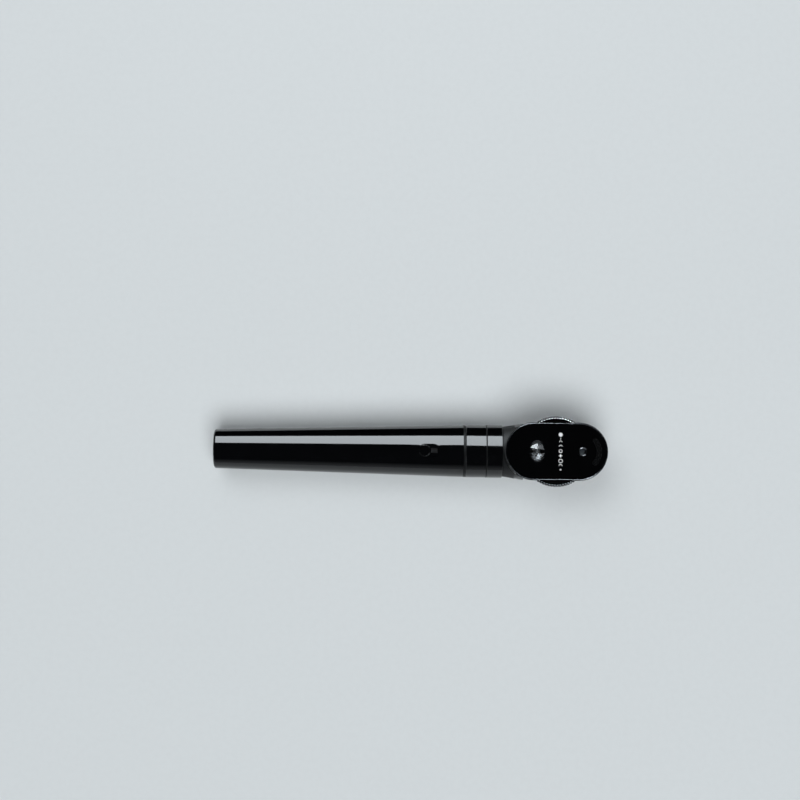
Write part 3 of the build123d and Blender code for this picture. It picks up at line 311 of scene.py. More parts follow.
@dataclass(frozen=True)
class GlossPlastic:
    """Polished black moulding with faint handling marks and settled dust."""

    colour: Colour
    roughness: float = 0.035
    smudge: float = 0.05
    along: Along = Along.X
    scratch_depth: float = 0.0012 * MM
    wave_depth: float = 0.004 * MM
    dust: float = 0.05
    satin_before: float | None = None
    satin_roughness: float = 0.55

    def material(self, name: str) -> bpy.types.Material:
        """Makes the material under a name."""
        tree = ShaderTree(bpy.data.materials.new(name))
        handled = tree.noise(0.11, 4.0, 0.6).ramp(0.42, 0.72)
        streaks = tree.noise(self.along.stretch(3.0, 0.06), 2.0, 0.6).ramp(0.5, 0.78)
        crossing = tree.noise((0.9, 0.12, 2.2), 1.0, 0.4, (0.03, 0.0, 0.01)).ramp(0.68, 0.74)
        specks = tree.cells(1.3).ramp(0.055, 0.02) * tree.noise(0.2, 2.0).ramp(0.5, 0.62)
        wave = tree.noise(0.22, 1.0, 0.4)
        lift = tree.blend(handled * 0.35, self.colour, tuple(part * 1.6 for part in self.colour))
        polish = self.roughness + handled * self.smudge + streaks * 0.02 + specks * 0.3
        if self.satin_before is not None:
            along, _, _ = tree.axes()
            satin = along.ramp(self.satin_before + 1.5, self.satin_before)
            polish = polish + satin * self.satin_roughness
        tree.set(
            Base_Color=tree.blend(specks * self.dust, lift, (0.55, 0.56, 0.58)),
            Roughness=polish,
            IOR=1.52,
        )
        height = wave * (self.wave_depth / self.scratch_depth) - streaks * 0.35 - crossing * 0.5
        tree.bump(height, self.scratch_depth)
        return tree.material


@dataclass(frozen=True)
class SatinPlastic:
    """Fine-textured moulding, worn smoother where fingers turn it."""

    colour: Colour
    roughness: float = 0.32
    grain: float = 5.0
    depth: float = 0.004 * MM

    def material(self, name: str) -> bpy.types.Material:
        """Makes the material under a name."""
        tree = ShaderTree(bpy.data.materials.new(name))
        grain = tree.noise(self.grain, 3.0, 0.65)
        worn = tree.noise(0.3, 3.0, 0.6).ramp(0.45, 0.65)
        pale = tuple(part * 1.9 + 0.004 for part in self.colour)
        tree.set(
            Base_Color=tree.blend(grain.ramp(0.5, 0.8) * 0.5, self.colour, pale),
            Roughness=self.roughness - worn * 0.12 + grain.ramp(0.3, 0.7) * 0.08,
            IOR=1.5,
        )
        tree.bump(grain, self.depth)
        return tree.material


@dataclass(frozen=True)
class Metal:
    """Turned, drawn or brushed metal with fine tool lines and a little tarnish."""

    colour: Colour
    tarnish: Colour
    roughness: float = 0.22
    along: Along = Along.X
    depth: float = 0.0015 * MM

    def material(self, name: str) -> bpy.types.Material:
        """Makes the material under a name."""
        tree = ShaderTree(bpy.data.materials.new(name))
        lines = tree.noise(self.along.stretch(14.0, 0.35), 2.0, 0.6)
        stains = tree.noise(0.6, 4.0, 0.6).ramp(0.52, 0.78)
        tree.set(
            Base_Color=tree.blend(stains * 0.55, self.colour, self.tarnish),
            Metallic=1.0,
            Roughness=self.roughness + lines.ramp(0.35, 0.7) * 0.1 + stains * 0.12,
        )
        tree.bump(lines, self.depth)
        return tree.material


@dataclass(frozen=True)
class BlackedMetal:
    """Black enamel or anodising over metal, bared a little where it is handled."""

    colour: Colour
    bare: Colour = (0.42, 0.43, 0.45)
    roughness: float = 0.06
    along: Along = Along.X
    bared: float = 0.0

    def material(self, name: str) -> bpy.types.Material:
        """Makes the material under a name."""
        tree = ShaderTree(bpy.data.materials.new(name))
        handled = tree.noise(0.13, 4.0, 0.6, (0.02, 0.01, 0.0)).ramp(0.42, 0.7)
        lines = tree.noise(self.along.stretch(9.0, 0.5), 2.0, 0.5)
        chips = tree.noise(2.6, 3.0, 0.7).ramp(0.66, 0.72) * self.bared
        tree.set(
            Base_Color=tree.blend(chips, self.colour, self.bare),
            Metallic=chips,
            Roughness=self.roughness + handled * 0.05 + lines.ramp(0.4, 0.8) * 0.02,
            IOR=1.52,
        )
        tree.bump(lines - chips * 2.0, 0.0008 * MM)
        return tree.material


@dataclass(frozen=True)
class ClearGlass:
    """Polished glass with a faint coating tint."""

    tint: Colour = (0.96, 0.98, 1.0)
    roughness: float = 0.01
    ior: float = 1.5

    def material(self, name: str) -> bpy.types.Material:
        """Makes the material under a name."""
        tree = ShaderTree(bpy.data.materials.new(name))
        smear = tree.noise(0.5, 3.0, 0.5).ramp(0.5, 0.75)
        deeper = tuple(part * 0.97 for part in self.tint)
        tree.set(
            Base_Color=tree.blend(smear, self.tint, deeper),
            Roughness=self.roughness + smear * 0.03,
            IOR=self.ior,
            Transmission_Weight=1.0,
        )
        return tree.material


@dataclass(frozen=True)
class StippledRubber:
    """Matt black pad with a fine skin over its moulded stipple."""

    colour: Colour
    roughness: float = 0.5

    def material(self, name: str) -> bpy.types.Material:
        """Makes the material under a name."""
        tree = ShaderTree(bpy.data.materials.new(name))
        skin = tree.noise(9.0, 3.0, 0.7)
        pale = tuple(part * 2.2 + 0.006 for part in self.colour)
        tree.set(
            Base_Color=tree.blend(skin.ramp(0.5, 0.75) * 0.6, self.colour, pale),
            Roughness=self.roughness + skin.ramp(0.3, 0.8) * 0.15,
            IOR=1.33,
        )
        tree.bump(skin, 0.006 * MM)
        return tree.material


@dataclass(frozen=True)
class PrintedInk:
    """Opaque printing ink with slightly broken coverage."""

    colour: Colour
    ground: Colour = (0.02, 0.02, 0.022)

    def material(self, name: str) -> bpy.types.Material:
        """Makes the material under a name."""
        tree = ShaderTree(bpy.data.materials.new(name))
        thin = tree.noise(7.0, 3.0, 0.6).ramp(0.62, 0.8)
        tree.set(
            Base_Color=tree.blend(thin * 0.35, self.colour, self.ground),
            Roughness=0.35 + thin * 0.2,
        )
        tree.bump(thin, 0.003 * MM)
        return tree.material


@dataclass(frozen=True)
class CellJacket:
    """A battery cell's printed sleeve: a dark band, a light band and a bare metal nub."""

    centre: Point
    half_length: float
    band: Colour = (0.02, 0.05, 0.09)
    sleeve: Colour = (0.42, 0.44, 0.46)
    scuffed: Colour = (0.6, 0.6, 0.6)
    nub: Colour = (0.7, 0.7, 0.68)

    def material(self, name: str) -> bpy.types.Material:
        """Makes the material under a name."""
        tree = ShaderTree(bpy.data.materials.new(name))
        along, _, _ = tree.axes(self.centre)
        reach = self.half_length / MM
        wrap = along.ramp(reach * 0.28, reach * 0.3)
        end = abs(along).ramp(reach - 1.5, reach - 1.3)
        scuffs = tree.noise((0.8, 5.0, 5.0), 3.0, 0.6).ramp(0.6, 0.75)
        sleeve = tree.blend(scuffs * 0.4, self.sleeve, self.scuffed)
        tree.set(
            Base_Color=tree.blend(end, tree.blend(wrap, sleeve, self.band), self.nub),
            Metallic=end,
            Roughness=0.28 + scuffs * 0.2,
        )
        return tree.material


BLACK = (0.0016, 0.0018, 0.0022)
INK_BLACK = (0.001, 0.0011, 0.0013)
STEEL = (0.56, 0.57, 0.59)
STEEL_STAIN = (0.38, 0.37, 0.36)
BRASS = (0.78, 0.58, 0.27)
BRASS_STAIN = (0.45, 0.3, 0.14)
NICKEL = (0.68, 0.65, 0.58)

NECK_FOOT = 48.5  # how far along the handle the neck's satin foot reaches, in millimetres

FINISHES = {
    "black_shell": GlossPlastic(BLACK),
    "black_plate": GlossPlastic(INK_BLACK, roughness=0.025, smudge=0.03, dust=0.03),
    "black_collar": BlackedMetal(BLACK),
    "black_wheel": GlossPlastic((0.003, 0.0032, 0.0036), roughness=0.06, smudge=0.05, along=Along.Z),
    "soft_pad": StippledRubber((0.0008, 0.0009, 0.001), roughness=0.22),
    "dial_face": SatinPlastic((0.012, 0.013, 0.015), roughness=0.4),
    "magnifier_glass": ClearGlass((0.8, 0.83, 0.86), roughness=0.03, ior=1.62),
    "optical_glass": ClearGlass((0.93, 0.96, 1.0)),
    "filter_glass": ClearGlass((0.05, 0.62, 0.24)),
    "lamp_glass": ClearGlass((0.99, 0.99, 0.98)),
    "lamp_metal": Metal((0.72, 0.71, 0.68), (0.5, 0.47, 0.42), roughness=0.14),
    "tungsten": Metal((0.3, 0.29, 0.28), (0.2, 0.2, 0.2), roughness=0.4),
    "inner_plastic": SatinPlastic((0.014, 0.014, 0.015), roughness=0.45),
    "insulator_plastic": SatinPlastic((0.62, 0.6, 0.52), roughness=0.4),
    "black_alloy": BlackedMetal((0.012, 0.012, 0.013), roughness=0.3),
    "front_silver": Metal((0.93, 0.94, 0.95), (0.88, 0.89, 0.9), roughness=0.01, depth=0.0001 * MM),
    "spring_steel": Metal(STEEL, STEEL_STAIN, roughness=0.25),
    "contact_brass": Metal(BRASS, BRASS_STAIN, roughness=0.2),
    "contact_strip": Metal(NICKEL, (0.45, 0.4, 0.3), roughness=0.22),
    "screw_steel": Metal((0.3, 0.31, 0.33), (0.18, 0.18, 0.18), roughness=0.28, along=Along.Z),
    "axle_steel": Metal((0.6, 0.61, 0.63), STEEL_STAIN, roughness=0.16, along=Along.Z),
    "mask_steel": BlackedMetal((0.03, 0.03, 0.032), roughness=0.35),
    "neck_shell": GlossPlastic(BLACK, satin_before=NECK_FOOT),
    "wheel_teeth": Metal((0.8, 0.82, 0.84), (0.4, 0.41, 0.42), roughness=0.16, along=Along.Z),
    "rim_bead": Metal((0.34, 0.35, 0.37), (0.2, 0.2, 0.21), roughness=0.12),
    "white_ink": PrintedInk((0.8, 0.82, 0.84)),
    "plus_ink": PrintedInk((0.3, 0.32, 0.31)),
    "minus_ink": PrintedInk((0.3, 0.015, 0.01)),
    # dark joint lines in the groove and the seam, and painted shade round the foot of the neck
    "joint_and_shade_black": StippledRubber((0.0015, 0.0016, 0.0018), roughness=0.45),
}


# ---------------------------------------------------------------- modelling
class Bench:
    """Modelling steps that every new piece shares."""

    @staticmethod
    def clear() -> None:
        """Leaves edit mode and selects nothing."""
        if bpy.context.object is not None and bpy.context.object.mode != "OBJECT":
            bpy.ops.object.mode_set(mode="OBJECT")
        bpy.ops.object.select_all(action="DESELECT")

    @staticmethod
    def pick(piece: bpy.types.Object, test: Callable[[Vector], bool]) -> None:
        """Opens a piece in edit mode with the points that pass a test selected.

        Args:
            piece: The piece, which is the active object.
            test: Takes a point's place and says whether it is selected.
        """
        if piece.mode != "EDIT":
            bpy.ops.object.mode_set(mode="EDIT")
        bpy.ops.mesh.select_mode(type="VERT")
        bpy.ops.mesh.select_all(action="DESELECT")
        mesh = bmesh.from_edit_mesh(piece.data)
        for point in mesh.verts:
            point.select_set(test(point.co))
        mesh.select_flush(True)
        bmesh.update_edit_mesh(piece.data)

    @staticmethod
    def cut(piece: bpy.types.Object, place: Point, normal: Point, fill: bool = False) -> None:
        """Cuts a piece by a plane and keeps what is behind the plane's normal.

        Args:
            piece: The piece, which is the active object.
            place: A point of the plane.
            normal: Points to the part that goes.
            fill: Whether the cut is closed.
        """
        Bench.pick(piece, lambda point: True)
        bpy.ops.mesh.bisect(plane_co=place, plane_no=normal, clear_outer=True, use_fill=fill)
        bpy.ops.object.mode_set(mode="OBJECT")

    @staticmethod
    def settle(piece: bpy.types.Object) -> None:
        """Puts the object's place, turn and scale into its mesh."""
        Bench.clear()
        piece.select_set(True)
        bpy.context.view_layer.objects.active = piece
        bpy.ops.object.transform_apply(location=True, rotation=True, scale=True)

    @staticmethod
    def repeat(piece: bpy.types.Object, places: Sequence[Matrix]) -> bpy.types.Object:
        """Copies a piece to many places and joins the copies.

        Args:
            piece: The first one, modelled about the origin; it goes.
            places: Where each copy goes.

        Returns:
            The joined piece.
        """
        Bench.clear()
        for place in places:
            copy = piece.copy()
            copy.data = piece.data.copy()
            copy.data.transform(place)
            bpy.context.scene.collection.objects.link(copy)
            copy.select_set(True)
            bpy.context.view_layer.objects.active = copy
        bpy.data.objects.remove(piece)
        bpy.ops.object.join()
        return bpy.context.object

    @staticmethod
    def finish(
        piece: bpy.types.Object,
        name: str,
        body: str,
        material: bpy.types.Material,
        slot: str | None = None,
        sharp: float = 40.0,
    ) -> bpy.types.Object:
        """Names, smooths and dresses a piece, and makes it ride on its body.

        Args:
            piece: The finished shape.
            name: The piece's name.
            body: The body that carries it.
            material: Its finish.
            slot: The record's slot that the finish stands for, if it has one; not used.
            sharp: Edges that turn more than this, in degrees, stay sharp.

        Returns:
            The same piece.
        """
        Bench.settle(piece)
        Bench.pick(piece, lambda point: True)
        bpy.ops.mesh.remove_doubles(threshold=0.001 * MM)
        bpy.ops.mesh.normals_make_consistent(inside=False)
        bpy.ops.object.mode_set(mode="OBJECT")
        bpy.ops.object.shade_smooth_by_angle(angle=math.radians(sharp))
        piece.name = name
        piece.data.materials.clear()
        piece.data.materials.append(material)
        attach(piece, body)
        LOG.info("%s: %d faces on %s", name, len(piece.data.polygons), body)
        return piece


@dataclass
class Magnifier:
    """The reading glass over the dial: a two-sided lens in a beaded bezel."""

    front_radius: float = 6.0 * MM
    back_radius: float = 13.0 * MM
    front_draw: float = 1.6
    back_draw: float = 1.25
    thickness: float = 2.6 * MM
    bead: float = 0.34 * MM
    beads: int = 30
    bead_depth: float = 0.09 * MM
    flange: float = 0.6 * MM
    centre: Vector = field(init=False)
    half_x: float = field(init=False)
    half_y: float = field(init=False)

    def build(self, materials: dict[str, bpy.types.Material]) -> None:
        """Makes the lens and its bezel where the CAD lens stands.

        Args:
            materials: Finishes by slot.
        """
        low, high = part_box("magnifier")
        self.centre = Vector(((low.x + high.x) / 2, 0.0, high.z))
        self.half_y = (high.y - low.y) / 2 - self.flange
        self.half_x = (high.x - low.x) / 2 - self.flange
        glass = "magnifier_glass"
        lens = Bench.finish(self._lens(), "magnifier_lens", "head", materials[glass], glass)
        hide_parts("magnifier")
        Bench.finish(self._bezel(), "magnifier_bezel", "head", materials["black_collar"], "black_collar", 60.0)

    def _ball(self, radius: float, draw: float, middle: float) -> bpy.types.Object:
        """Makes a ball drawn out along the handle.

        Args:
            radius: Its radius across the handle.
            draw: How many times longer it is along the handle.
            middle: The height of its middle.

        Returns:
            The ball.
        """
        Bench.clear()
        bpy.ops.mesh.primitive_uv_sphere_add(
            segments=128, ring_count=96, radius=radius, location=(self.centre.x, 0, middle)
        )
        ball = bpy.context.object
        ball.scale = (draw, 1.0, 1.0)
        Bench.settle(ball)
        return ball

    def _lens(self) -> bpy.types.Object:
        """Makes the lens: what an oval blank shares with a front ball and a back ball."""
        apex = self.centre.z
        Bench.clear()
        bpy.ops.mesh.primitive_cylinder_add(
            vertices=96, radius=self.half_y, depth=2 * self.thickness, location=(self.centre.x, 0, apex)
        )
        lens = bpy.context.object
        lens.scale = (self.half_x / self.half_y, 1.0, 1.0)
        Bench.settle(lens)
        front = self._ball(self.front_radius, self.front_draw, apex - self.front_radius)
        back = self._ball(self.back_radius, self.back_draw, apex - self.thickness + self.back_radius)
        bpy.context.view_layer.objects.active = lens
        for ball in (front, back):
            shared = lens.modifiers.new("shared", "BOOLEAN")
            shared.operation = "INTERSECT"
            shared.solver = "EXACT"
            shared.object = ball
            bpy.ops.object.modifier_apply(modifier=shared.name)
            bpy.data.objects.remove(ball)
        return lens

    def _narrow(self, piece: bpy.types.Object) -> None:
        """Squeezes a round piece along the handle to the glass's oval."""
        Bench.clear()
        narrowing = Matrix.Diagonal((self.half_x / self.half_y, 1.0, 1.0, 1.0))
        shift = Matrix.Translation((self.centre.x, 0, 0))
        piece.data.transform(shift @ narrowing @ shift.inverted())
        bpy.context.view_layer.objects.active = piece

    def _bezel(self) -> bpy.types.Object:
        """Makes the bezel: a ring round the glass with milled beads."""
        plate_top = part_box("face_plate")[1].z
        Bench.clear()
        bpy.ops.mesh.primitive_torus_add(
            major_radius=self.half_y + self.bead * 0.8,
            minor_radius=self.bead,
            major_segments=self.beads * 4,
            minor_segments=16,
            location=(self.centre.x, 0, plate_top - self.bead * 0.2),
        )
        bezel = bpy.context.object
        Bench.settle(bezel)
        step = math.tau / self.beads
        Bench.pick(bezel, lambda point: self._turn(point) % step < step * 0.3)
        bpy.ops.transform.shrink_fatten(value=-self.bead_depth)
        self._narrow(bezel)
        return bezel

    def _turn(self, point: Vector) -> float:
        """The angle of a point round the glass, from 0 to a full turn."""
        return (math.atan2(point.y, point.x - self.centre.x) + 1e-4) % math.tau


@dataclass
class LensWheelGrip:
    """The lens wheel's milled rim: bevelled teeth with sloping tops."""

    teeth: int = 76
    reach: float = 1.1 * MM
    width: float = 0.86 * MM
    slope: float = math.radians(20)
    bevel: float = 0.12 * MM
    stand: float = 0.12 * MM
    proud: float = 0.05 * MM
    rim_height: float = 3.2 * MM
    spare: float = 0.04 * MM
    centre: Vector = field(init=False)
    radius: float = field(init=False)
    top: float = field(init=False)
    bottom: float = field(init=False)

    def build(self, materials: dict[str, bpy.types.Material]) -> None:
        """Makes the teeth round the CAD wheel's rim.

        Args:
            materials: Finishes by slot.
        """
        low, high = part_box("lens_wheel")
        self.centre = Vector(((low.x + high.x) / 2, 0, 0))
        self.radius = (high.y - low.y) / 2 + self.proud
        self.top = high.z + self.stand
        self.bottom = high.z - self.rim_height
        tooth = self._tooth()
        places = [
            Matrix.Translation(self.centre) @ Matrix.Rotation(math.tau * (turn + 0.5) / self.teeth, 4, "Z")
            for turn in range(self.teeth)
        ]
        rim = Bench.repeat(tooth, places)
        Bench.finish(rim, "lens_wheel_teeth", "lens_wheel", materials["wheel_teeth"], "black_wheel", 25.0)

    def _tooth(self) -> bpy.types.Object:
        """Makes one tooth on the +X side of the origin."""
        Bench.clear()
        height = self.top - self.bottom + self.spare
        middle = (self.top + self.bottom) / 2
        outer = self.radius - self.reach / 2
        bpy.ops.mesh.primitive_cube_add(size=1.0, location=(outer, 0, middle))
        tooth = bpy.context.object
        tooth.scale = (self.reach, self.width, height)
        Bench.settle(tooth)
        drop = math.tan(self.slope) * self.reach
        Bench.pick(tooth, lambda point: point.x > outer and point.z > middle)
        bpy.ops.transform.translate(value=(0, 0, -drop))
        Bench.pick(tooth, lambda point: point.x > outer and point.z < middle)
        bpy.ops.transform.translate(value=(0, 0, drop))
        bpy.ops.object.mode_set(mode="OBJECT")
        rounding = tooth.modifiers.new("rounding", "BEVEL")
        rounding.width = self.bevel
        rounding.segments = 2
        bpy.ops.object.modifier_apply(modifier=rounding.name)
        return tooth


@dataclass
class BrowStipple:
    """The moulded dots of the rest that meets the brow."""

    pitch: float = 0.62 * MM
    dot: float = 0.17 * MM
    rise: float = 0.07 * MM
    inner: float = 6.75 * MM
    outer: float = 8.75 * MM
    spread: float = math.radians(44)
    rows: int = 4
    rest_radius: float = 9.0 * MM

    def build(self, materials: dict[str, bpy.types.Material]) -> None:
        """Makes the dots on the rest.

        Args:
            materials: Finishes by slot.
        """
        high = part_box("brow_rest")[1]
        centre = Vector((high.x - self.rest_radius, 0, high.z))
        Bench.clear()
        bpy.ops.mesh.primitive_uv_sphere_add(segments=8, ring_count=6, radius=self.dot)
        dot = bpy.context.object
        dot.scale = (1, 1, self.rise / self.dot)
        Bench.settle(dot)
        Bench.cut(dot, (0, 0, -self.rise * 0.4), (0, 0, -1), fill=True)
        places = []
        for row in range(self.rows):
            radius = self.inner + (self.outer - self.inner) * row / (self.rows - 1)
            count = int(2 * self.spread * radius / self.pitch)
            for step in range(count + 1):
                turn = self.spread * (2 * step / count - 1)
                place = centre + Vector((math.cos(turn), math.sin(turn), 0)) * radius
                places.append(Matrix.Translation(place))
        stipple = Bench.repeat(dot, places)
        Bench.finish(stipple, "brow_rest_stipple", "head", materials["soft_pad"], "soft_pad", 80.0)


class Mark(Enum):
    """The kinds of aperture signs printed on the plate."""

    SPOT = "spot"
    BAR = "bar"
    RING = "ring"
    HALF = "half"
    CROSS = "cross"


@dataclass
class PlateMarks:
    """The column of aperture signs in white ink on the face plate."""

    across: float = 1.8 * MM
    stroke: float = 0.13 * MM
    ink: float = 0.02 * MM
    cross_arm: float = 0.28
    signs: tuple[tuple[Mark, float, float], ...] = (
        (Mark.SPOT, 7.8, 0.95),
        (Mark.BAR, 6.0, 0.55),
        (Mark.HALF, 4.3, 0.75),
        (Mark.HALF, 2.3, 0.8),
        (Mark.RING, 0.2, 0.85),
        (Mark.CROSS, -2.0, 0.9),
        (Mark.RING, -4.4, 1.0),
        (Mark.HALF, -6.7, 0.85),
        (Mark.RING, -8.4, 0.4),
    )

    def build(self, materials: dict[str, bpy.types.Material]) -> None:
        """Prints the signs.

        Args:
            materials: Finishes by slot.
        """
        wheel_low, wheel_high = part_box("lens_wheel")
        plate_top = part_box("face_plate")[1].z
        middle = (wheel_low.x + wheel_high.x) / 2 + self.across
        made = [
            self._sign(kind, Vector((middle, rise * MM, plate_top)), size * MM) for kind, rise, size in self.signs
        ]
        Bench.clear()
        for sign in made:
            sign.select_set(True)
            bpy.context.view_layer.objects.active = sign
        bpy.ops.object.join()
        Bench.finish(bpy.context.object, "plate_aperture_marks", "head", materials["white_ink"])

    def _sign(self, kind: Mark, place: Vector, size: float) -> bpy.types.Object:
        """Makes one sign.

        Args:
            kind: What it shows.
            place: Its middle.
            size: Its half width.

        Returns:
            The sign, a thin raised print.
        """
        Bench.clear()
        if kind is Mark.SPOT:
            bpy.ops.mesh.primitive_uv_sphere_add(segments=40, ring_count=12, radius=size, location=place)
            flat = self.ink / size
        elif kind in (Mark.BAR, Mark.CROSS):
            bpy.ops.mesh.primitive_uv_sphere_add(segments=24, ring_count=10, radius=size, location=place)
            flat = self.ink / size
        else:
            bpy.ops.mesh.primitive_torus_add(
                major_radius=size - self.stroke,
                minor_radius=self.stroke,
                major_segments=40,
                minor_segments=8,
                location=place,
            )
            flat = self.ink / self.stroke
        sign = bpy.context.object
        thin = {Mark.BAR: self.stroke / size, Mark.CROSS: self.cross_arm}.get(kind, 1.0)
        sign.scale = (thin, 1.0, flat)
        Bench.settle(sign)
        if kind is Mark.HALF:
            Bench.cut(sign, place, (0.0, -1.0, 0.0), fill=True)
        if kind is Mark.CROSS:
            upright = Matrix.Translation(place) @ Matrix.Rotation(math.pi / 2, 4, "Z") @ Matrix.Translation(-place)
            sign = Bench.repeat(sign, [Matrix.Identity(4), upright])
        return sign


@dataclass
class PlateRim:
    """The thin polished bead that binds the face plate."""

    bead: float = 0.12 * MM
    inset: float = 0.1 * MM

    def build(self, materials: dict[str, bpy.types.Material]) -> None:
        """Makes the bead round the plate: a ring drawn out to the plate's length.

        Args:
            materials: Finishes by slot.
        """
        low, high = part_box("face_plate")
        half = (high.y - low.y) / 2
        stretch = (high.x - low.x) - 2 * half
        left = low.x + half
        Bench.clear()
        bpy.ops.mesh.primitive_torus_add(
            major_radius=half - self.inset,
            minor_radius=self.bead,
            major_segments=160,
            minor_segments=12,
            location=(left, 0, high.z - self.bead * 0.7),
        )
        rim = bpy.context.object
        Bench.settle(rim)
        Bench.pick(rim, lambda point: True)
        bpy.ops.mesh.bisect(plane_co=(left + 0.05 * MM, 0, 0), plane_no=(1, 0, 0))
        Bench.pick(rim, lambda point: point.x > left + 0.04 * MM)
        bpy.ops.transform.translate(value=(stretch, 0, 0))
        bpy.ops.object.mode_set(mode="OBJECT")
        Bench.finish(rim, "face_plate_bead", "head", materials["rim_bead"], "black_plate", 60.0)


@dataclass
class SightRing:
    """The turned ring in the mouth of the sight hole."""

    radius: float = 1.75 * MM
    bead: float = 0.2 * MM
    sink: float = 0.12 * MM

    def build(self, materials: dict[str, bpy.types.Material]) -> None:
        """Makes the ring over the sight glass.

        Args:
            materials: Finishes by slot.
        """
        low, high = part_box("sight_glass")
        middle = (low.x + high.x) / 2
        plate_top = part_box("face_plate")[1].z
        Bench.clear()
        bpy.ops.mesh.primitive_torus_add(
            major_radius=self.radius,
            minor_radius=self.bead,
            major_segments=64,
            minor_segments=16,
            location=(middle, 0, plate_top - self.sink),
        )
        ring = bpy.context.object
        Bench.settle(ring)
        lip = self.radius - self.bead / 2
        Bench.pick(ring, lambda point: math.hypot(point.x - middle, point.y) < lip)
        bpy.ops.transform.translate(value=(0, 0, -self.bead))
        bpy.ops.object.mode_set(mode="OBJECT")
        Bench.finish(ring, "sight_ring", "head", materials["rim_bead"], "black_plate", 80.0)


@dataclass
class JointBands:
    """Dull black bands in the groove, in the seam and round the foot of the neck: in the groove and the seam they
    are dark joint lines, and round the neck's foot the band is painted shade.
    """

    groove_width: float = 2.0 * MM
    seam_width: float = 0.9 * MM
    neck_width: float = 4.4 * MM
    neck_dip: float = 0.62 * MM
    seam_dip: float = 0.05 * MM
    seam_gap: float = 0.4 * MM
    groove_gap: float = 0.8 * MM
    spigot: float = 4.2 * MM
    depth: float = 0.3 * MM
    sink: float = 0.02 * MM

    def build(self, materials: dict[str, bpy.types.Material]) -> None:
        """Makes the three bands.

        Args:
            materials: Finishes by slot.
        """
        tube, ring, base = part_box("handle_tube"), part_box("adapter_ring"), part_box("head_base")
        groove = tube[1].x - self.spigot + self.groove_gap / 2
        seam = ring[1].x + self.seam_gap / 2
        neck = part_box("eyepiece_cover")[0].x
        height = (ring[0].z + ring[1].z) / 2
        tube_radius = (tube[1].z - tube[0].z) / 2
        base_radius = (base[1].z - base[0].z) / 2
        bands = (
            ("groove_band", "handle", groove, tube_radius, self.groove_width),
            ("seam_band", "head", seam, base_radius - self.seam_dip, self.seam_width),
            # painted shade: a matt black band laid over the neck's foot so that the neck reads dark there
            ("neck_shade_band", "head", neck, base_radius - self.neck_dip, self.neck_width),
        )
        for name, body, station, radius, width in bands:
            Bench.clear()
            bpy.ops.mesh.primitive_torus_add(
                major_radius=radius - self.depth + self.sink,
                minor_radius=self.depth,
                major_segments=128,
                minor_segments=16,
                location=(station, 0, height),
                rotation=(0, math.pi / 2, 0),
            )
            band = bpy.context.object
            band.scale = (1.0, 1.0, width / 2 / self.depth)
            Bench.finish(band, name, body, materials["joint_and_shade_black"], None, 80.0)


@dataclass
class SwitchShutter:
    """The plate behind the switch that closes its slot."""

    length: float = 5.2 * MM
    half_width: float = 1.9 * MM
    thickness: float = 0.5 * MM
    corner: float = 0.35 * MM
    lap: float = 0.3 * MM
    drop: float = 0.12 * MM

    def build(self, materials: dict[str, bpy.types.Material]) -> None:
        """Makes the plate on the head side of the slider.

        Args:
            materials: Finishes by slot.
        """
        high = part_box("switch_slider")[1]
        Bench.clear()
        middle = (high.x + self.length / 2 - self.lap, 0, high.z - self.drop - self.thickness / 2)
        bpy.ops.mesh.primitive_cube_add(size=1.0, location=middle)
        plate = bpy.context.object
        plate.scale = (self.length, 2 * self.half_width, self.thickness)
        Bench.settle(plate)
        corners = plate.modifiers.new("corners", "BEVEL")
        corners.width = self.corner
        corners.segments = 3
        bpy.context.view_layer.objects.active = plate
        bpy.ops.object.modifier_apply(modifier=corners.name)
        Bench.finish(plate, "switch_shutter", "switch", materials["inner_plastic"], "inner_plastic")


@dataclass
class DialFigures:
    """The lens powers printed on the dial, dark for plus and red for minus."""

    size: float = 1.35 * MM
    ink: float = 0.01 * MM
    inset: float = 1.3 * MM
    centre: Vector = field(init=False)
    radius: float = field(init=False)
    seats: int = field(init=False)
    plus: tuple[int, ...] = (0, 1, 2, 3, 4, 6, 8, 10, 15, 20)
    minus: tuple[int, ...] = (25, 20, 15, 10, 8, 6, 4, 2, 1)

    def build(self, materials: dict[str, bpy.types.Material]) -> None:
        """Prints both runs of figures.

        Args:
            materials: Finishes by slot.
        """
        low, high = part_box("dioptre_dial")
        self.centre = Vector(((low.x + high.x) / 2, 0, high.z))
        self.radius = (high.y - low.y) / 2 - self.inset
        self.seats = len(self.plus) + len(self.minus)
        for name, run, first in (("plus", self.plus, 0), ("minus", self.minus, len(self.plus))):
            figures = self._run(run, first)
            Bench.finish(figures, f"dial_figures_{name}", "lens_wheel", materials[f"{name}_ink"])

    def _run(self, run: Sequence[int], first: int) -> bpy.types.Object:
        """Makes one run of figures round the dial.

        Args:
            run: The figures in order.
            first: The seat where the run starts.

        Returns:
            The joined figures.
        """
        made = []
        for step, power in enumerate(run):
            Bench.clear()
            bpy.ops.object.text_add()
            text = bpy.context.object
            text.data.body = str(power)
            text.data.size = self.size
            text.data.extrude = self.ink
            text.data.resolution_u = 3
            text.data.align_x = "CENTER"
            text.data.align_y = "CENTER"
            bpy.ops.object.convert(target="MESH")
            figure = bpy.context.object
            turn = math.pi + math.tau * (first + step) / self.seats
            place = self.centre + Vector((math.cos(turn), math.sin(turn), 0)) * self.radius
            figure.data.transform(Matrix.Translation(place) @ Matrix.Rotation(turn + math.pi / 2, 4, "Z"))
            made.append(figure)
        Bench.clear()
        for figure in made:
            figure.select_set(True)
            bpy.context.view_layer.objects.active = figure
        bpy.ops.object.join()
        return bpy.context.object


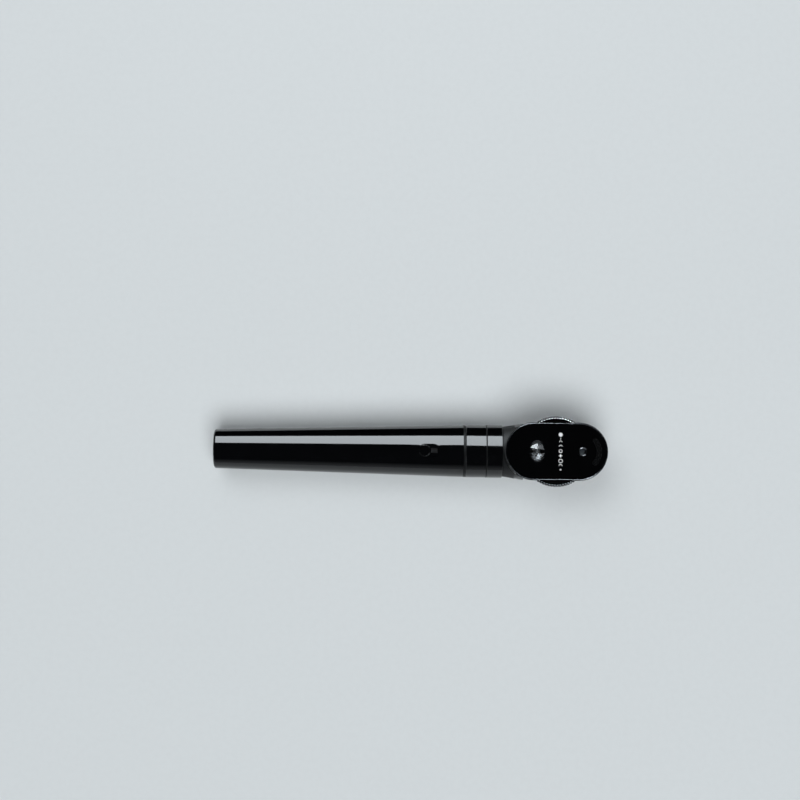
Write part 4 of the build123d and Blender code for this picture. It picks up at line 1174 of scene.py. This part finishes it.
# ---------------------------------------------------------------- studio
@dataclass
class Studio:
    """Pale floor, soft light and the camera."""

    lens: float = 85.0
    sensor: float = 36.0
    camera_place: Point = (-0.00478, -0.0180, 0.9048)
    camera_aim: Point = (-0.00478, 0.02384, 0.0140)
    roll: float = math.radians(0.6)
    floor_reach: float = 6.0
    floor_tone: Colour = (0.70, 0.735, 0.75)
    strip_left: tuple[float, float] = (36.0, 77.0)
    strip_right: tuple[float, float] = (21.5, 67.8)
    strip_ends: tuple[float, float] = (-0.30, 0.14)
    strip_glow: float = 9.5
    flag_near: float = 0.036
    flag_far: float = 1.3
    flag_wide: float = 2.0
    flag_tall: float = 0.5
    rim_start: float = 0.175
    rim_end: float = 0.8
    rim_glow: float = 1.7

    def build(self) -> None:
        """Sets up everything around the object."""
        self._camera()
        self._floor()
        self._world()
        self._daylight()
        self._strip()
        self._flags()
        view = bpy.context.scene.view_settings
        view.view_transform = "Standard"
        view.look = "None"

    def _camera(self) -> None:
        """Adds the camera, nearly level with the handle across the picture."""
        data = bpy.data.cameras.new("camera")
        data.lens = self.lens
        data.sensor_width = self.sensor
        data.clip_start = 0.01
        camera = bpy.data.objects.new("camera", data)
        aim = Vector(self.camera_aim) - Vector(self.camera_place)
        turn = aim.to_track_quat("-Z", "Y").to_matrix() @ Matrix.Rotation(self.roll, 3, "Z")
        camera.location = self.camera_place
        camera.rotation_euler = turn.to_euler()
        bpy.context.scene.collection.objects.link(camera)
        bpy.context.scene.camera = camera

    def _floor(self) -> None:
        """Adds the floor, a pale sheet with a faint grain."""
        Bench.clear()
        bpy.ops.mesh.primitive_plane_add(size=2 * self.floor_reach, location=(0, 0, -0.02 * MM))
        floor = bpy.context.object
        floor.name = "floor"
        tone = self.floor_tone
        tree = ShaderTree(bpy.data.materials.new("floor_sheet"))
        grain = tree.noise(0.35, 4.0, 0.6)
        tree.set(
            Base_Color=tree.blend(grain.ramp(0.35, 0.7), tone, tuple(part * 0.985 for part in tone)),
            Roughness=0.62 + grain * 0.06,
        )
        floor.data.materials.append(tree.material)

    def _world(self) -> None:
        """Adds a dark room with a soft glow low down on the near side."""
        world = bpy.data.worlds.new("room")
        world.use_nodes = True
        nodes, links = world.node_tree.nodes, world.node_tree.links
        nodes.clear()
        place = nodes.new("ShaderNodeTexCoord")
        towards = nodes.new("ShaderNodeVectorMath")
        towards.operation = "DOT_PRODUCT"
        towards.inputs[1].default_value = (0.0, -0.8, -0.6)
        ramp = nodes.new("ShaderNodeValToRGB")
        background = nodes.new("ShaderNodeBackground")
        output = nodes.new("ShaderNodeOutputWorld")
        ShaderTree._set_stops(ramp.color_ramp, ((0.45, (0.006, 0.006, 0.007)), (0.8, (0.34, 0.36, 0.38))))
        links.new(place.outputs["Generated"], towards.inputs[0])
        links.new(towards.outputs["Value"], ramp.inputs[0])
        links.new(ramp.outputs[0], background.inputs[0])
        background.inputs[1].default_value = 1.0
        links.new(background.outputs[0], output.inputs[0])
        bpy.context.scene.world = world

    def _daylight(self) -> None:
        """Adds the two broad soft lights, which the polish doesn't mirror."""
        for name, source, strength, spread in (
            ("key_light", (0.1, -0.75, 1.7), 2.3, 40.0),
            ("fill_light", (-0.6, 0.7, 1.7), 0.9, 40.0),
        ):
            data = bpy.data.lights.new(name, "SUN")
            data.energy = strength
            data.angle = math.radians(spread)
            data.color = (0.97, 0.99, 1.0)
            light = bpy.data.objects.new(name, data)
            light.rotation_euler = (-Vector(source)).to_track_quat("-Z", "Y").to_euler()
            data.cycles.use_multiple_importance_sampling = False
            light.visible_glossy = False
            bpy.context.scene.collection.objects.link(light)

    def _sheet(self, name: str, corners: Sequence[Vector], glow: float) -> bpy.types.Object:
        """Adds a flat sheet that only polished surfaces see.

        Args:
            name: The sheet's name.
            corners: Its corners in order.
            glow: How strongly it shines; 0 is a black flag.

        Returns:
            The sheet.
        """
        mesh = bpy.data.meshes.new(name)
        mesh.from_pydata([tuple(corner) for corner in corners], [], [tuple(range(len(corners)))])
        sheet = bpy.data.objects.new(name, mesh)
        bpy.context.scene.collection.objects.link(sheet)
        material = bpy.data.materials.new(f"{name}_face")
        material.use_nodes = True
        nodes, links = material.node_tree.nodes, material.node_tree.links
        nodes.clear()
        shine = nodes.new("ShaderNodeEmission")
        shine.inputs[0].default_value = (0.88, 0.95, 1.0, 1.0)
        shine.inputs[1].default_value = glow
        output = nodes.new("ShaderNodeOutputMaterial")
        links.new(shine.outputs[0], output.inputs[0])
        mesh.materials.append(material)
        sheet.visible_camera = False
        sheet.visible_diffuse = False
        sheet.visible_shadow = False
        return sheet

    def _strip(self) -> None:
        """Adds the mirrored strip, lower at its butt end."""
        corners = []
        for along, angles in zip(self.strip_ends, (self.strip_left, self.strip_right)):
            edge = []
            for angle in angles:
                turn = math.radians(angle)
                edge.append(Vector((along, math.sin(turn), math.cos(turn))))
            corners += edge if not corners else reversed(edge)
        self._sheet("strip_light", corners, self.strip_glow)
        for side, low, high in (("far", 18.0, 62.0), ("near", -62.0, -18.0)):
            edge = [
                Vector((0.0, math.sin(math.radians(angle)), math.cos(math.radians(angle)))) for angle in (low, high)
            ]
            start, end = Vector((self.rim_start, 0, 0)), Vector((self.rim_end, 0, 0))
            corners = [edge[0] + start, edge[1] + start, edge[1] + end, edge[0] + end]
            self._sheet(f"rim_light_{side}", corners, self.rim_glow)

    def _flags(self) -> None:
        """Adds the black flags that keep the far floor and wall out of the polish."""
        near, far, wide, tall = self.flag_near, self.flag_far, self.flag_wide, self.flag_tall
        floor = ((-wide, near, MM), (wide, near, MM), (wide, far, MM), (-wide, far, MM))
        wall = ((-wide, far, 0), (wide, far, 0), (wide, far, tall), (-wide, far, tall))
        for name, corners in (("floor_flag", floor), ("wall_flag", wall)):
            flag = self._sheet(name, [Vector(corner) for corner in corners], 0.0)
            flag.visible_transmission = False


def dress_frame(frame: dict, materials: dict[str, bpy.types.Material]) -> None:
    """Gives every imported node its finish.

    Args:
        frame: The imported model.
        materials: Finishes by slot.
    """
    slots = {part["node"]: part["material_slot"] for part in frame["record"]["subparts"]}
    for name, node in frame["nodes"].items():
        if name in ("patient_cover", "eyepiece_cover"):
            made = materials["neck_shell"]
        elif slots[name] == "cell_jacket":
            low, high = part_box(name)
            made = CellJacket(tuple((low + high) / 2), (high.x - low.x) / 2).material(f"{name}_jacket")
        else:
            made = materials[slots[name]]
        for place in node.material_slots:
            place.material = made
        if not node.material_slots:
            node.data.materials.append(made)
        LOG.info("%s: %s", name, slots[name])


def main() -> None:
    """Loads the frame and builds every sub-assembly in order."""
    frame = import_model()
    materials = {slot: finish.material(slot) for slot, finish in FINISHES.items()}
    dress_frame(frame, materials)
    Magnifier().build(materials)
    LensWheelGrip().build(materials)
    BrowStipple().build(materials)
    PlateMarks().build(materials)
    PlateRim().build(materials)
    SightRing().build(materials)
    JointBands().build(materials)
    SwitchShutter().build(materials)
    DialFigures().build(materials)
    Studio().build()


if __name__ == "__main__":
    logging.basicConfig(level=logging.INFO)
    main()
